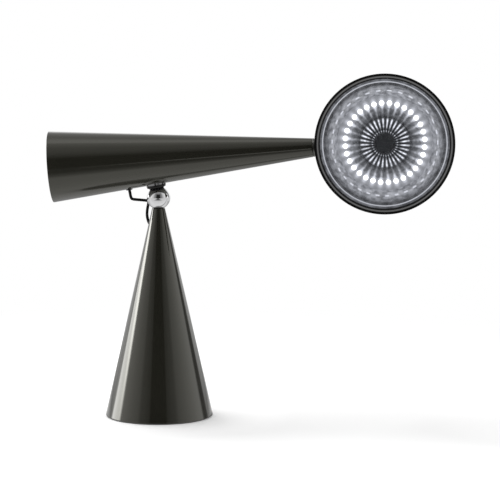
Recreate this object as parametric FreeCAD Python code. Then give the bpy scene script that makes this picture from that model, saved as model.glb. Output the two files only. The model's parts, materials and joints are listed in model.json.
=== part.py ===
import FreeCAD, Part
import math
import os

# A tabletop searchlight lamp made of three cones.
# An upright cone is the heavy base. A chrome ball on its neck carries a long level cone, the arm, in a
# shallow cup with a magnet. The arm's thin end carries the third cone, the lamp head, on a swivel. A short
# black cable runs outside the ball joint, from the arm's underside into the neck of the base.
#
# Sizes are millimetres and degrees. The origin is the middle of the foot on the table, +X runs from the base
# towards the head, +Z is up, and the head looks towards -Y.

V = FreeCAD.Vector

# Building
least_length = 0.000001  # shorter runs of an outline are left out

# Fits and clearances
press_gap = 0.02  # parts of one body that are pressed or screwed together
running_gap = 0.05  # a shaft in the bore that it turns or slides in
moving_gap = 0.3  # curved faces of bodies that move past each other
loose_gap = 0.3  # a part that drops into its housing
face_gap = 0.1  # flat faces of bodies that turn against each other

# Base cone
foot_radius = 60.0  # where the cone's side would meet the table
neck_radius = 7.0
base_height = 233.3
base_wall = 2.0
shell_lift = 1.0  # the shell's bare edge above the table
shell_edge_bevel = 0.6

# Parts inside the base
pad_thickness = 2.0
plate_thickness = 3.0
ballast_height = 30.0
plate_screw_circle = 35.0
plate_screw_count = 3
plate_screw_turn = 30.0
plate_screw_radius = 2.0
plate_screw_head_radius = 4.0
plate_screw_length = 15.0
rod_radius = 3.0
rod_thread_end = 2.5  # rod below its nut
rod_hold = 6.0  # length of rod in the neck plug
nut_flats = 10.0
nut_height = 5.0
washer_radius = 7.5
washer_thickness = 1.0
nut_recess_margin = 0.8
driver_length = 36.0
driver_depth = 24.0
driver_height = 50.0
driver_setback = 6.0  # from the rod's axis to the driver's back
driver_edge_round = 2.0
block_length = 26.0
block_depth = 12.0
block_height = 12.0
block_setback = 12.0
block_hole_radius = 1.5
block_hole_depth = 6.0
block_hole_count = 3
block_hole_pitch = 7.0

# Neck and ball
ball_radius = 13.0
plug_web = 1.0  # between the stud's bore and the rod's bore
stud_radius = 3.0
stud_hold = 6.5  # length of stud screwed into the plug
stud_rise = 4.8  # pin above the ball's centre
stud_shoulder_radius = 4.6
stud_shoulder_height = 2.5
ball_flat_drop = 12.0  # from the ball's centre to the flat under it

# Cord inlet at the back of the base
inlet_bore_radius = 3.1
inlet_height = 16.0
gland_body_radius = 5.9
gland_flange_radius = 7.6
gland_inner_length = 12.0  # behind the cone's outside
gland_outer_length = 3.4  # in front of the cone's outside
gland_nut_radius = 8.5
gland_nut_length = 4.0
gland_nut_setback = 8.5
gland_bevel = 0.8
channel_margin = 1.0

# Push button at the back of the base
switch_height = 62.0
button_radius = 6.5
button_proud = 1.5  # button beyond its bezel
button_skirt = 7.2  # button below the bezel's face
button_dish_depth = 0.5
button_dish_radius = 4.9
button_travel = 1.5
button_stem_radius = 2.5
button_stem_length = 8.0
bezel_barrel_radius = 8.0
bezel_flange_radius = 9.6
bezel_proud = 1.2
bezel_barrel_depth = 14.0
bezel_floor = 6.0
bezel_edge_bevel = 0.5
switch_body_radius = 7.5
switch_body_length = 12.0
switch_well_spare = 3.5  # under the stem of the pressed button

# Arm cone
arm_back = 119.1  # from the base's axis to the big end, along the arm
arm_front = 171.0  # from the base's axis to the thin end
arm_big_radius = 39.4
arm_tip_radius = 10.33
arm_wall = 1.5
arm_pitch = 4.552  # the thin end is raised
arm_edge_bevel = 0.4
end_recess = 2.0
end_cap_thickness = 3.0
end_cap_dish_radius = 30.0
end_cap_dish_depth = 1.0
weight_length = 60.0
weight_bore_radius = 4.0
cap_screw_circle = 24.0
cap_screw_count = 3
cap_screw_radius = 2.0
cap_screw_head_radius = 3.8
cap_screw_head_depth = 1.8
cap_screw_length = 16.0

# Cup between ball and arm
cup_floor = 1.9  # from the ball's top to the arm's underside
liner_thickness = 0.8
liner_edge_height = 10.9  # above the ball's centre
liner_hole_radius = 3.0
cup_edge_height = 10.4
cup_edge_radius = 10.3
cup_flange_radius = 11.5
cup_flange_height = 12.6
cup_flange_bevel = 1.0
cup_stem_radius = 8.0
cup_stem_top = 22.0
magnet_radius = 6.0
magnet_bore_radius = 2.3
magnet_height = 5.5
saddle_length = 40.0
saddle_width = 28.0
saddle_top = 25.0
cup_screw_radius = 2.0
cup_screw_head_radius = 3.6
cup_screw_head_height = 3.5
cup_screw_end_gap = 0.7
cup_screw_socket_flats = 3.0
cup_screw_socket_depth = 1.5

# Swivel at the arm's thin end
bush_length = 21.0
spindle_radius = 5.0
spindle_bore_radius = 2.4
swivel_ring_width = 2.6
swivel_ring_step = 0.3
spindle_tail = 1.0  # spindle beyond its nut
spindle_nut_flats = 14.0
spindle_nut_height = 5.0
spring_washer_radius = 7.8
spring_washer_thickness = 1.3
lock_ring_radius = 8.0
lock_ring_length = 4.0
lock_ring_clear = 2.0

# Lamp head
head_radius = 76.5
head_gap = 0.5  # from the swivel ring to the head's rim, seen from the front
head_lift = 3.09  # the head looks up a little
head_length = 125.0
head_back_radius = 11.0
head_back_round = 5.0
head_axis_depth = 45.0  # from the rim back to the arm's axis
head_band = 10.0  # straight band at the rim
head_wall = 1.5
rim_round = 0.7
shelf_width = 3.6
shelf_height = 3.0
ledge_width = 9.0
ledge_height = 4.0

# Front ring, lens and what holds them
bezel_set_back = 0.4
bezel_thickness = 3.0
bezel_width = 4.1
bezel_slope = 1.1
bezel_bevel = 0.5
front_turn = 0.7  # of the tabs, the lights and the flutes, from the arm's direction
tab_count = 3
tab_turn = 60.0  # of the first tab, from front_turn
tab_width = 4.4
tab_length = 1.9
tab_height = 0.8
tab_pocket_margin = 0.25
lens_thickness = 2.5
gasket_thickness = 1.5
gasket_width = 4.6
trim_ring_inset = 2.8  # from the gasket's inner edge to the ring's middle
trim_ring_half_width = 0.7
trim_ring_height = 1.2
trim_ring_bevel = 0.4

# Light ring and reflectors
board_depth = 33.0  # from the rim back to the board's face
board_thickness = 1.6
board_margin = 1.0  # board beyond the reflector's foot
board_hole_radius = 2.1
led_count = 32
led_ring_inset = 8.23  # from the reflector's foot to the lights' middles
led_side = 5.0
led_height = 1.4
led_corner_round = 0.8
reflector_lip = 3.6  # from the reflector's mouth to the trim ring's middle
reflector_half_angle = 25.6
reflector_wall = 1.2
flange_thickness = 1.2
flute_ratio = 0.955  # a flute's bottom radius over its crest radius
centre_skirt_gap = 1.05  # from the lights to the skirt's crests
centre_skirt_width = 12.4
centre_brow_height = 2.6
centre_top_radius = 11.8
centre_height = 19.1
centre_cap_thickness = 1.5
centre_cap_bevel = 0.5
centre_screw_radius = 2.0
centre_screw_head_radius = 3.3
centre_screw_head_height = 3.0
centre_screw_hold = 10.0

# Heat sink behind the board
sink_thickness = 3.0
fin_count = 6
fin_pitch = 10.0
fin_thickness = 2.0
fin_reach = 34.0
fin_height = 30.0
sink_screw_inset = 2.7824  # from the board's edge
sink_screw_count = 3
sink_screw_turn = 90.0
sink_screw_radius = 1.5
sink_screw_head_radius = 2.6
sink_screw_head_depth = 2.0
sink_screw_length = 10.0

# Cable past the ball joint
cable_radius = 1.6
cable_gap = 0.15
cable_station = -34.9  # where it leaves the arm's underside, along the arm
cable_inside_arm = 5.0
cable_drop = 11.3  # straight run below the arm before its first corner
cable_points = (V(-11.6, 10.6, 6.3), V(-12.8, 10.0, -4.3), V(-12.0, 13.4, -14.3))  # from the neck's rim
cable_corner_radius = 4.5  # the photographed bends are this tight
cable_slight_turn = 60.0  # gentler corners than this take a larger radius
cable_run_share = 0.45  # of a run, at most, taken by the arc at each of its ends
cable_check_step = 0.5
cable_entry_drop = 23.3  # below the neck's rim
cable_entry_angle = 116.0  # around the neck, from +X
cable_entry_reach = 5.4  # last corner outside the cone
cable_inside_neck = 4.9
grommet_wall = 0.9
grommet_flange = 0.9  # flange wider than the body
grommet_proud = 0.9


# Derived sizes
base_taper = (foot_radius - neck_radius) / base_height
base_half_angle = math.degrees(math.atan(base_taper))
base_wall_across = base_wall / math.cos(math.radians(base_half_angle))
ball_height = base_height + math.sqrt(ball_radius**2 - neck_radius**2)
cable_entry_height = base_height - cable_entry_drop
ball_centre = V(0, 0, ball_height)
plate_low = pad_thickness
plate_top = plate_low + plate_thickness
ballast_top = plate_top + ballast_height
stud_shoulder_top = ball_height - ball_flat_drop - running_gap
stud_shoulder_low = stud_shoulder_top - stud_shoulder_height
stud_low = stud_shoulder_low - stud_hold
plug_low = stud_low - plug_web - rod_hold
nut_low = plate_top + rod_thread_end
nut_top = nut_low + nut_height
nut_washer_top = nut_top + washer_thickness

arm_taper = (arm_big_radius - arm_tip_radius) / (arm_back + arm_front)
arm_half_angle = math.degrees(math.atan(arm_taper))
arm_wall_across = arm_wall / math.cos(math.radians(arm_half_angle))
arm_mid_radius = arm_tip_radius + arm_taper * arm_front
pitch = math.radians(arm_pitch)
cup_seat = ball_radius + cup_floor  # from the ball's centre to the arm's underside
arm_rise = (cup_seat / math.cos(math.radians(arm_half_angle)) + arm_mid_radius) / (
    math.cos(pitch) - arm_taper * math.sin(pitch)
)
arm_height = ball_height + arm_rise
liner_inner = ball_radius + running_gap
liner_outer = liner_inner + liner_thickness
cup_inner = liner_outer + running_gap

head_station = arm_front + swivel_ring_width + head_gap + head_radius
head_taper = (head_radius - head_back_radius) / (head_length - head_band)
head_wall_across = head_wall * math.sqrt(1 + head_taper**2)
band_inner_radius = head_radius - head_wall
bezel_back = head_axis_depth - bezel_set_back - bezel_thickness
lens_front = bezel_back - face_gap
lens_back = lens_front - lens_thickness
gasket_back = lens_back - gasket_thickness
flange_back = gasket_back - flange_thickness
board_face = head_axis_depth - board_depth
board_back = board_face - board_thickness
sink_back = board_back - sink_thickness
bezel_inner_radius = band_inner_radius - bezel_width
tab_ring_radius = (band_inner_radius + bezel_inner_radius) / 2
glass_radius = band_inner_radius - loose_gap
gasket_inner_radius = band_inner_radius - gasket_width
trim_ring_radius = gasket_inner_radius - trim_ring_inset
reflector_slope = math.tan(math.radians(reflector_half_angle))
reflector_top_radius = trim_ring_radius - reflector_lip
reflector_foot_radius = reflector_top_radius - (gasket_back - board_face) * reflector_slope
board_radius = reflector_foot_radius + board_margin
sink_screw_circle = board_radius - sink_screw_inset
led_ring_radius = reflector_foot_radius - led_ring_inset
centre_skirt_radius = led_ring_radius - led_side / 2 - centre_skirt_gap
centre_brow_radius = centre_skirt_radius - centre_skirt_width
stub_end = arm_front + swivel_ring_width + face_gap

arm_place = FreeCAD.Placement(V(0, 0, arm_height), FreeCAD.Rotation(V(0, 1, 0), -arm_pitch))
head_turn = FreeCAD.Rotation(V(1, 0, 0), 90 - head_lift)
head_place = arm_place.multiply(FreeCAD.Placement(V(head_station, 0, 0), head_turn))
cup_local = FreeCAD.Placement(
    V(-arm_rise * math.sin(pitch), 0, -arm_rise * math.cos(pitch)),
    FreeCAD.Rotation(V(0, 1, 0), -arm_half_angle),
)
cup_place = arm_place.multiply(cup_local)


# Radii of the three cones
def base_radius(height):
    """Outside of the base at a height above the table."""
    return foot_radius - base_taper * height


def base_bore(height):
    """Inside of the base at a height above the table."""
    return base_radius(height) - base_wall_across


def arm_radius(station):
    """Outside of the arm at a station along it, 0 over the base's axis."""
    return arm_mid_radius - arm_taper * station


def arm_bore(station):
    """Inside of the arm at a station along it."""
    return arm_radius(station) - arm_wall_across


def head_outside(height):
    """Outside of the head at a height above the arm's axis, towards the rim."""
    return head_radius - head_taper * max(0.0, head_axis_depth - head_band - height)


def head_bore(height):
    """Inside of the head at that height."""
    return head_outside(height) - head_wall_across


# Shaping helpers
def joined_runs(points, radii, closed):
    """A wire of straight runs joined by tangent arcs. A radius of 0 leaves a sharp corner."""
    count = len(points)
    reach = list(points)
    leave = list(points)
    arcs = {}
    for index, here in enumerate(points):
        at_end = not closed and index in (0, count - 1)
        if at_end or radii[index] <= 0:
            continue
        back = (points[index - 1] - here).normalize()
        ahead = (points[(index + 1) % count] - here).normalize()
        half = back.getAngle(ahead) / 2
        reach[index] = here + back * (radii[index] / math.tan(half))
        leave[index] = here + ahead * (radii[index] / math.tan(half))
        inward = (back + ahead).normalize()
        middle = here + inward * (radii[index] / math.sin(half) - radii[index])
        arcs[index] = Part.Arc(reach[index], middle, leave[index]).toShape()
    edges = []
    for index in range(count):
        if index in arcs:
            edges.append(arcs[index])
        following = (index + 1) % count
        if following == 0 and not closed:
            continue
        if leave[index].distanceToPoint(reach[following]) > least_length:
            edges.append(Part.LineSegment(leave[index], reach[following]).toShape())
    return Part.Wire(edges)


def turned(outline):
    """A solid turned about Z from (radius, height) points. A third value rounds that corner."""
    points = [V(point[0], 0, point[1]) for point in outline]
    radii = [point[2] if len(point) > 2 else 0 for point in outline]
    solid = Part.Face(joined_runs(points, radii, True)).revolve(V(0, 0, 0), V(0, 0, 1), 360)
    if solid.Volume < 0:
        solid.reverse()
    return solid


def bevelled(outline):
    """A solid turned about Z from (radius, height) points. A third value cuts that corner off straight."""
    points = []
    for index, point in enumerate(outline):
        here = V(point[0], 0, point[1])
        if len(point) < 3:
            points.append(here)
            continue
        for other in (outline[index - 1], outline[(index + 1) % len(outline)]):
            towards = (V(other[0], 0, other[1]) - here).normalize()
            points.append(here + towards * point[2])
    solid = Part.Face(Part.makePolygon([*points, points[0]])).revolve(V(0, 0, 0), V(0, 0, 1), 360)
    if solid.Volume < 0:
        solid.reverse()
    return solid


def rod(radius, low, high):
    """A round bar on Z."""
    return Part.makeCylinder(radius, high - low, V(0, 0, low))


def ring(outer, inner, low, high):
    """A flat ring on Z."""
    return rod(outer, low, high).cut(rod(inner, low, high))


def frustum(low_radius, high_radius, low, high):
    """A solid cone on Z, cut off at both ends."""
    return Part.makeCone(low_radius, high_radius, high - low, V(0, 0, low))


def hexagon(flats, low, high):
    """A six-sided bar on Z, by its width across flats."""
    corner = flats / math.sqrt(3)
    angles = [k * math.pi / 3 for k in range(7)]
    points = [V(corner * math.cos(angle), corner * math.sin(angle), low) for angle in angles]
    return Part.Face(Part.makePolygon(points)).extrude(V(0, 0, high - low))


def around(shape, count, start=0.0):
    """Copies of a shape spaced evenly around Z."""
    copies = []
    for k in range(count):
        one = shape.copy()
        one.rotate(V(0, 0, 0), V(0, 0, 1), start + 360.0 * k / count)
        copies.append(one)
    return copies


def moved(shape, place):
    """A copy of a shape carried by a placement."""
    copy = shape.copy()
    copy.Placement = place.multiply(copy.Placement)
    return copy


def lying(shape):
    """A shape made about Z, laid along the arm's own X."""
    copy = shape.copy()
    copy.rotate(V(0, 0, 0), V(0, 1, 0), 90)
    return copy


def on_arm(shape):
    """A shape turned about Z, laid on the arm's axis."""
    return moved(lying(shape), arm_place)


def save(name, shape):
    """Writes one named piece."""
    shape.exportStep("parts/" + name + ".step")


# Solid cones that neighbouring parts are trimmed to
base_outside = frustum(foot_radius, neck_radius, 0, base_height)
arm_outside = lying(frustum(arm_big_radius, arm_tip_radius, -arm_back, arm_front))
arm_room = lying(
    frustum(arm_bore(-arm_back) - loose_gap, arm_bore(arm_front) - loose_gap, -arm_back, arm_front)
)
ball_room = Part.makeSphere(ball_radius + moving_gap, ball_centre)


# Base
def switch_place():
    """The button's own frame, on the cone's side at the back, +Z outwards."""
    at = V(0, base_radius(switch_height), switch_height)
    return FreeCAD.Placement(at, FreeCAD.Rotation(V(1, 0, 0), base_half_angle - 90))


def neck_hole_place():
    """The cable inlet's frame: on the base's axis, +Z out through the neck."""
    turn = FreeCAD.Rotation(V(0, 0, 1), cable_entry_angle).multiply(FreeCAD.Rotation(V(0, 1, 0), 90))
    return FreeCAD.Placement(V(0, 0, cable_entry_height), turn)


def inlet_place():
    """The cord inlet's frame: on the base's axis, +Z out through the back."""
    return FreeCAD.Placement(V(0, 0, inlet_height), FreeCAD.Rotation(V(1, 0, 0), -90))


grommet_bore = cable_radius + cable_gap
grommet_body_radius = grommet_bore + grommet_wall
grommet_flange_radius = grommet_body_radius + grommet_flange


def make_base_shell():
    """Spun cone, open below, with its neck hollowed for the ball and holes at the back."""
    outline = (
        (base_radius(shell_lift), shell_lift, shell_edge_bevel),
        (neck_radius, base_height),
        (neck_radius - base_wall_across, base_height),
        (base_bore(shell_lift), shell_lift, shell_edge_bevel),
    )
    shell = bevelled(outline).cut(ball_room)
    switch_hole = rod(bezel_barrel_radius + press_gap, -bezel_barrel_depth, bezel_barrel_depth)
    inlet_hole = rod(gland_body_radius + press_gap, base_radius(inlet_height) / 2, foot_radius + base_wall)
    cable_hole = rod(grommet_body_radius + press_gap, base_bore(base_height), foot_radius)
    shell = shell.cut(moved(switch_hole, switch_place()))
    shell = shell.cut(moved(inlet_hole, inlet_place()))
    return shell.cut(moved(cable_hole, neck_hole_place()))


def make_foot_pad():
    """Soft disc glued under the plate, standing a little below the shell's edge."""
    return rod(base_bore(plate_low) - loose_gap, 0, pad_thickness)


def plate_screws():
    """Countersunk screws from below, through the plate into the ballast."""
    head_top = plate_low + plate_screw_head_radius - plate_screw_radius
    screw = turned(
        (
            (0, plate_low),
            (plate_screw_head_radius, plate_low),
            (plate_screw_radius, head_top),
            (plate_screw_radius, plate_low + plate_screw_length),
            (0, plate_low + plate_screw_length),
        )
    )
    screw.translate(V(plate_screw_circle, 0, 0))
    return Part.makeCompound(around(screw, plate_screw_count, plate_screw_turn))


def make_bottom_plate():
    """Steel disc that closes the base."""
    plate = rod(base_bore(plate_top) - loose_gap, plate_low, plate_top)
    return plate.cut(plate_screws())


def make_ballast():
    """Iron cone with a hole for the tie rod, a recess for its nut and a channel for the cord."""
    low = base_bore(plate_top) - loose_gap
    high = base_bore(ballast_top) - loose_gap
    body = frustum(low, high, plate_top, ballast_top)
    recess = rod(washer_radius + nut_recess_margin, plate_top, nut_washer_top)
    rod_hole = rod(rod_radius + loose_gap, plate_top, ballast_top)
    half_channel = gland_nut_radius + channel_margin
    channel_start = washer_radius + nut_recess_margin + channel_margin
    channel = Part.makeBox(
        2 * half_channel, foot_radius, ballast_height, V(-half_channel, channel_start, plate_top)
    )
    return body.cut(recess).cut(rod_hole).cut(channel).cut(plate_screws())


def make_tie_rod():
    """Long threaded rod that pulls the neck down onto the ballast."""
    return rod(rod_radius, plate_top + press_gap, plug_low + rod_hold)


def make_tie_rod_nut():
    """Nut under the ballast."""
    return hexagon(nut_flats, nut_low, nut_top).cut(rod(rod_radius + press_gap, nut_low, nut_top))


def make_tie_rod_washer():
    """Washer between the nut and the ballast."""
    return ring(washer_radius, rod_radius + press_gap, nut_top, nut_washer_top)


def make_neck_plug():
    """Tapered insert that fills the neck and takes the rod from below and the ball's stud from above."""
    low = base_bore(plug_low) - press_gap
    high = base_bore(base_height) - press_gap
    body = frustum(low, high, plug_low, base_height).cut(ball_room)
    body = body.cut(rod(rod_radius + press_gap, plug_low, plug_low + rod_hold))
    body = body.cut(rod(stud_radius + press_gap, stud_low, base_height))
    return body.cut(rod(stud_shoulder_radius + press_gap, stud_shoulder_low, base_height))


def make_ball_stud():
    """Pin that the ball sits and turns on."""
    pin = rod(stud_radius, stud_low, ball_height + stud_rise)
    return pin.fuse(rod(stud_shoulder_radius, stud_shoulder_low, stud_shoulder_top)).removeSplitter()


def make_driver_case():
    """Case of the power supply, in front of the tie rod."""
    corner = V(-driver_length / 2, -driver_setback - driver_depth, ballast_top)
    case = Part.makeBox(driver_length, driver_depth, driver_height, corner)
    upright = [edge for edge in case.Edges if edge.BoundBox.ZLength > driver_height / 2]
    return case.makeFillet(driver_edge_round, upright)


def make_terminal_block():
    """Terminal block behind the tie rod, over the cord's channel."""
    block = Part.makeBox(
        block_length, block_depth, block_height, V(-block_length / 2, block_setback, ballast_top)
    )
    first = -(block_hole_count - 1) * block_hole_pitch / 2
    block_top = ballast_top + block_height
    for k in range(block_hole_count):
        hole = rod(block_hole_radius, block_top - block_hole_depth, block_top)
        hole.translate(V(first + k * block_hole_pitch, block_setback + block_depth / 2, 0))
        block = block.cut(hole)
    return block


def make_cord_gland():
    """Round bush for the mains cord, its flange trimmed to the cone."""
    surface = base_radius(inlet_height)
    inner = surface - gland_inner_length
    outer = surface + gland_outer_length
    flange = bevelled(
        (
            (0, inner),
            (gland_flange_radius, inner),
            (gland_flange_radius, outer, gland_bevel),
            (0, outer),
        )
    )
    flange = moved(flange, inlet_place()).cut(base_outside)
    body = moved(rod(gland_body_radius, inner, outer - gland_bevel), inlet_place())
    bore = moved(rod(inlet_bore_radius, inner, outer), inlet_place())
    return flange.fuse(body).cut(bore).removeSplitter()


def make_gland_nut():
    """Nut that holds the gland from inside."""
    high = base_radius(inlet_height) - gland_nut_setback
    low = high - gland_nut_length + channel_margin
    nut = ring(gland_nut_radius, gland_body_radius + press_gap, low, high)
    return moved(nut, inlet_place())


def make_lower_grommet():
    """Rubber ring where the cable goes into the neck."""
    surface = base_radius(cable_entry_height)
    outer = surface + grommet_proud
    inner = surface - base_wall_across - grommet_proud
    flange = moved(rod(grommet_flange_radius, inner, outer), neck_hole_place()).cut(base_outside)
    body = moved(rod(grommet_body_radius, inner, outer), neck_hole_place())
    bore = moved(rod(grommet_bore, inner, outer), neck_hole_place())
    return flange.fuse(body).cut(bore).removeSplitter()


# Push button
button_bore = button_radius + running_gap
bezel_floor_top = -bezel_barrel_depth + bezel_floor
button_low = bezel_proud - button_skirt
stem_bore = button_stem_radius + running_gap


def make_switch_housing():
    """Threaded barrel with a bezel trimmed to the cone, bored for the button."""
    flange = bevelled(
        (
            (0, -base_wall),
            (bezel_flange_radius, -base_wall),
            (bezel_flange_radius, bezel_proud, bezel_edge_bevel),
            (0, bezel_proud),
        )
    )
    flange = moved(flange, switch_place()).cut(base_outside)
    barrel = moved(rod(bezel_barrel_radius, -bezel_barrel_depth, bezel_proud), switch_place())
    bore = rod(button_bore, bezel_floor_top, bezel_proud).fuse(rod(stem_bore, -bezel_barrel_depth, 0))
    return flange.fuse(barrel).cut(moved(bore, switch_place())).removeSplitter()


def make_switch_button():
    """Round push button with a shallow dish and a stem."""
    top = bezel_proud + button_proud
    button = bevelled(
        (
            (0, button_low),
            (button_radius, button_low),
            (button_radius, top, bezel_edge_bevel),
            (button_dish_radius, top),
            (0, top - button_dish_depth),
        )
    )
    stem = rod(button_stem_radius, button_low - button_stem_length, button_low)
    return moved(button.fuse(stem).removeSplitter(), switch_place())


def make_switch_body():
    """Switch unit behind the barrel, with a well for the button's stem and its own spring inside."""
    high = -bezel_barrel_depth
    body = rod(switch_body_radius, high - switch_body_length, high)
    stem_low = button_low - button_stem_length - button_travel
    return moved(body.cut(rod(stem_bore, stem_low - switch_well_spare, high)), switch_place())


# Ball
def make_pivot_ball():
    """Polished ball with a flat below and a bore for the stud."""
    low = ball_height - ball_flat_drop
    ball = Part.makeSphere(ball_radius, ball_centre)
    ball = ball.cut(rod(ball_radius, low - ball_radius, low))
    return ball.cut(rod(stud_radius + running_gap, low, ball_height + stud_rise + loose_gap))


# Cup, magnet and saddle, in the cup's own frame: origin at the ball's centre, +Z into the arm
magnet_low = cup_stem_top - magnet_height - face_gap
cup_screw_low = cup_inner + cup_screw_end_gap
saddle_floor = cup_seat - arm_wall


def make_socket_liner():
    """Thin slippery dish between ball and cup."""
    shell = Part.makeSphere(liner_outer).cut(Part.makeSphere(liner_inner))
    shell = shell.common(rod(cup_inner, liner_edge_height, cup_inner))
    return moved(shell.cut(rod(liner_hole_radius, 0, cup_inner)), cup_place)


def make_socket_cup():
    """Chrome cup: a shallow skirt under the arm and a stem through its wall."""
    skirt = bevelled(
        (
            (0, cup_edge_height),
            (cup_edge_radius, cup_edge_height),
            (cup_flange_radius, cup_flange_height, cup_flange_bevel),
            (cup_flange_radius, cup_stem_top),
            (0, cup_stem_top),
        )
    )
    skirt = moved(skirt, cup_local).cut(arm_outside)
    stem = moved(rod(cup_stem_radius, cup_inner, cup_stem_top), cup_local)
    hollow = Part.makeSphere(cup_inner).fuse(rod(magnet_radius + press_gap, magnet_low, cup_stem_top))
    hollow = hollow.fuse(rod(cup_screw_radius + press_gap, cup_screw_low, cup_stem_top))
    return moved(skirt.fuse(stem).cut(moved(hollow, cup_local)).removeSplitter(), arm_place)


def make_socket_magnet():
    """Ring magnet in the cup's stem, which holds the arm to the steel ball."""
    return moved(ring(magnet_radius, magnet_bore_radius, magnet_low, cup_stem_top - face_gap), cup_place)


def make_arm_saddle():
    """Block inside the arm that the cup is screwed to, curved like the arm's wall."""
    corner = V(-saddle_length / 2, -saddle_width / 2, saddle_floor)
    block = Part.makeBox(saddle_length, saddle_width, saddle_top - saddle_floor, corner)
    block = moved(block, cup_local).common(arm_room)
    hollow = rod(cup_stem_radius + press_gap, 0, cup_stem_top)
    hollow = hollow.fuse(rod(cup_screw_radius + press_gap, 0, saddle_top))
    return moved(block.cut(moved(hollow, cup_local)), arm_place)


def make_socket_screw():
    """Screw from inside the arm, through saddle and magnet into the cup."""
    head_low = saddle_top + press_gap
    head_high = saddle_top + cup_screw_head_height
    socket = hexagon(cup_screw_socket_flats, head_high - cup_screw_socket_depth, head_high)
    head = rod(cup_screw_head_radius, head_low, head_high)
    screw = rod(cup_screw_radius, cup_screw_low, head_low).fuse(head)
    return moved(screw.cut(socket), cup_place)


# Arm
def arm_cable_place():
    """The cable outlet's frame in the arm: on the underside, +Z out of the wall."""
    at = V(cable_station, 0, -arm_radius(cable_station))
    turn = FreeCAD.Rotation(V(0, 1, 0), 180 - arm_half_angle)
    return FreeCAD.Placement(at, turn)


def make_arm_shell():
    """Long spun cone, open at both ends, with holes below for cup and cable."""
    outline = (
        (arm_big_radius, -arm_back, arm_edge_bevel),
        (arm_tip_radius, arm_front),
        (arm_tip_radius - arm_wall_across, arm_front),
        (arm_big_radius - arm_wall_across, -arm_back, arm_edge_bevel),
    )
    shell = lying(bevelled(outline))
    shell = shell.cut(moved(rod(cup_stem_radius + press_gap, 0, saddle_top), cup_local))
    hole = rod(grommet_body_radius + press_gap, -cable_inside_arm, cable_inside_arm)
    return moved(shell.cut(moved(hole, arm_cable_place())), arm_place)


def make_upper_grommet():
    """Rubber ring where the cable comes out of the arm."""
    inner = -arm_wall - grommet_proud
    flange = moved(rod(grommet_flange_radius, -arm_wall, grommet_proud), arm_cable_place()).cut(arm_outside)
    body = moved(rod(grommet_body_radius, inner, grommet_proud), arm_cable_place())
    bore = moved(rod(grommet_bore, inner, grommet_proud), arm_cable_place())
    return moved(flange.fuse(body).cut(bore).removeSplitter(), arm_place)


cap_low = -arm_back + end_recess
cap_high = cap_low + end_cap_thickness
weight_high = cap_high + weight_length


def cap_screws():
    """Countersunk screws through the end cap into the counterweight."""
    screw = turned(
        (
            (0, cap_low),
            (cap_screw_head_radius, cap_low),
            (cap_screw_radius, cap_low + cap_screw_head_depth),
            (cap_screw_radius, cap_low + cap_screw_length),
            (0, cap_low + cap_screw_length),
        )
    )
    screw.translate(V(cap_screw_circle, 0, 0))
    return Part.makeCompound(around(screw, cap_screw_count))


def make_arm_end_cap():
    """Disc set into the big end, with a shallow dish in its face."""
    outline = (
        (0, cap_low + end_cap_dish_depth),
        (end_cap_dish_radius - end_cap_dish_depth, cap_low + end_cap_dish_depth),
        (end_cap_dish_radius, cap_low),
        (arm_bore(cap_low) - press_gap, cap_low, arm_edge_bevel),
        (arm_bore(cap_high) - press_gap, cap_high),
        (0, cap_high),
    )
    return on_arm(bevelled(outline).cut(cap_screws_sunk()))


def cap_screws_sunk():
    """The cap screws, moved in by the dish's depth so that their heads lie in its floor."""
    screws = cap_screws()
    screws.translate(V(0, 0, end_cap_dish_depth))
    return screws


def make_counterweight():
    """Iron plug that balances the head, wedged in the big end."""
    body = frustum(arm_bore(cap_high) - loose_gap, arm_bore(weight_high) - loose_gap, cap_high, weight_high)
    body = body.cut(rod(weight_bore_radius, cap_high, weight_high))
    return on_arm(body.cut(cap_screws_sunk()))


# Swivel, along the arm's axis
bush_low = arm_front - bush_length
washer_high = bush_low - face_gap
washer_low = washer_high - spring_washer_thickness
nut_far = washer_low - spindle_nut_height
spindle_low = nut_far - spindle_tail
wall_reach = math.sqrt(head_bore(-lock_ring_radius) ** 2 - lock_ring_radius**2)
lock_ring_low = head_station - wall_reach + lock_ring_clear
lock_ring_high = lock_ring_low + lock_ring_length
spindle_high = lock_ring_high + spindle_tail


def make_tip_bush():
    """Brass bush that fills the arm's thin end and carries the spindle."""
    body = frustum(arm_bore(bush_low) - press_gap, arm_bore(arm_front) - press_gap, bush_low, arm_front)
    return on_arm(body.cut(rod(spindle_radius + running_gap, bush_low, arm_front)))


def make_swivel_ring():
    """Bright ring between arm and head, with a step at each side."""
    middle = arm_front + swivel_ring_width / 2
    high = arm_front + swivel_ring_width
    outline = (
        (spindle_radius + running_gap, arm_front),
        (arm_radius(arm_front) - swivel_ring_step, arm_front),
        (arm_radius(middle), arm_front + swivel_ring_step),
        (arm_radius(middle), high - swivel_ring_step),
        (arm_radius(high) - swivel_ring_step, high),
        (spindle_radius + running_gap, high),
    )
    return on_arm(turned(outline))


def make_swivel_spindle():
    """Hollow spindle for the head's wires."""
    return on_arm(ring(spindle_radius, spindle_bore_radius, spindle_low, spindle_high))


def make_spindle_nut():
    """Nut on the spindle, inside the arm."""
    nut = hexagon(spindle_nut_flats, nut_far, washer_low)
    return on_arm(nut.cut(rod(spindle_radius + press_gap, nut_far, washer_low)))


def make_spring_washer():
    """Washer that gives the swivel its drag."""
    return on_arm(ring(spring_washer_radius, spindle_radius + press_gap, washer_low, washer_high))


def make_lock_ring():
    """Ring that holds the spindle's end inside the head."""
    return on_arm(ring(lock_ring_radius, spindle_radius + press_gap, lock_ring_low, lock_ring_high))


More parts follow.
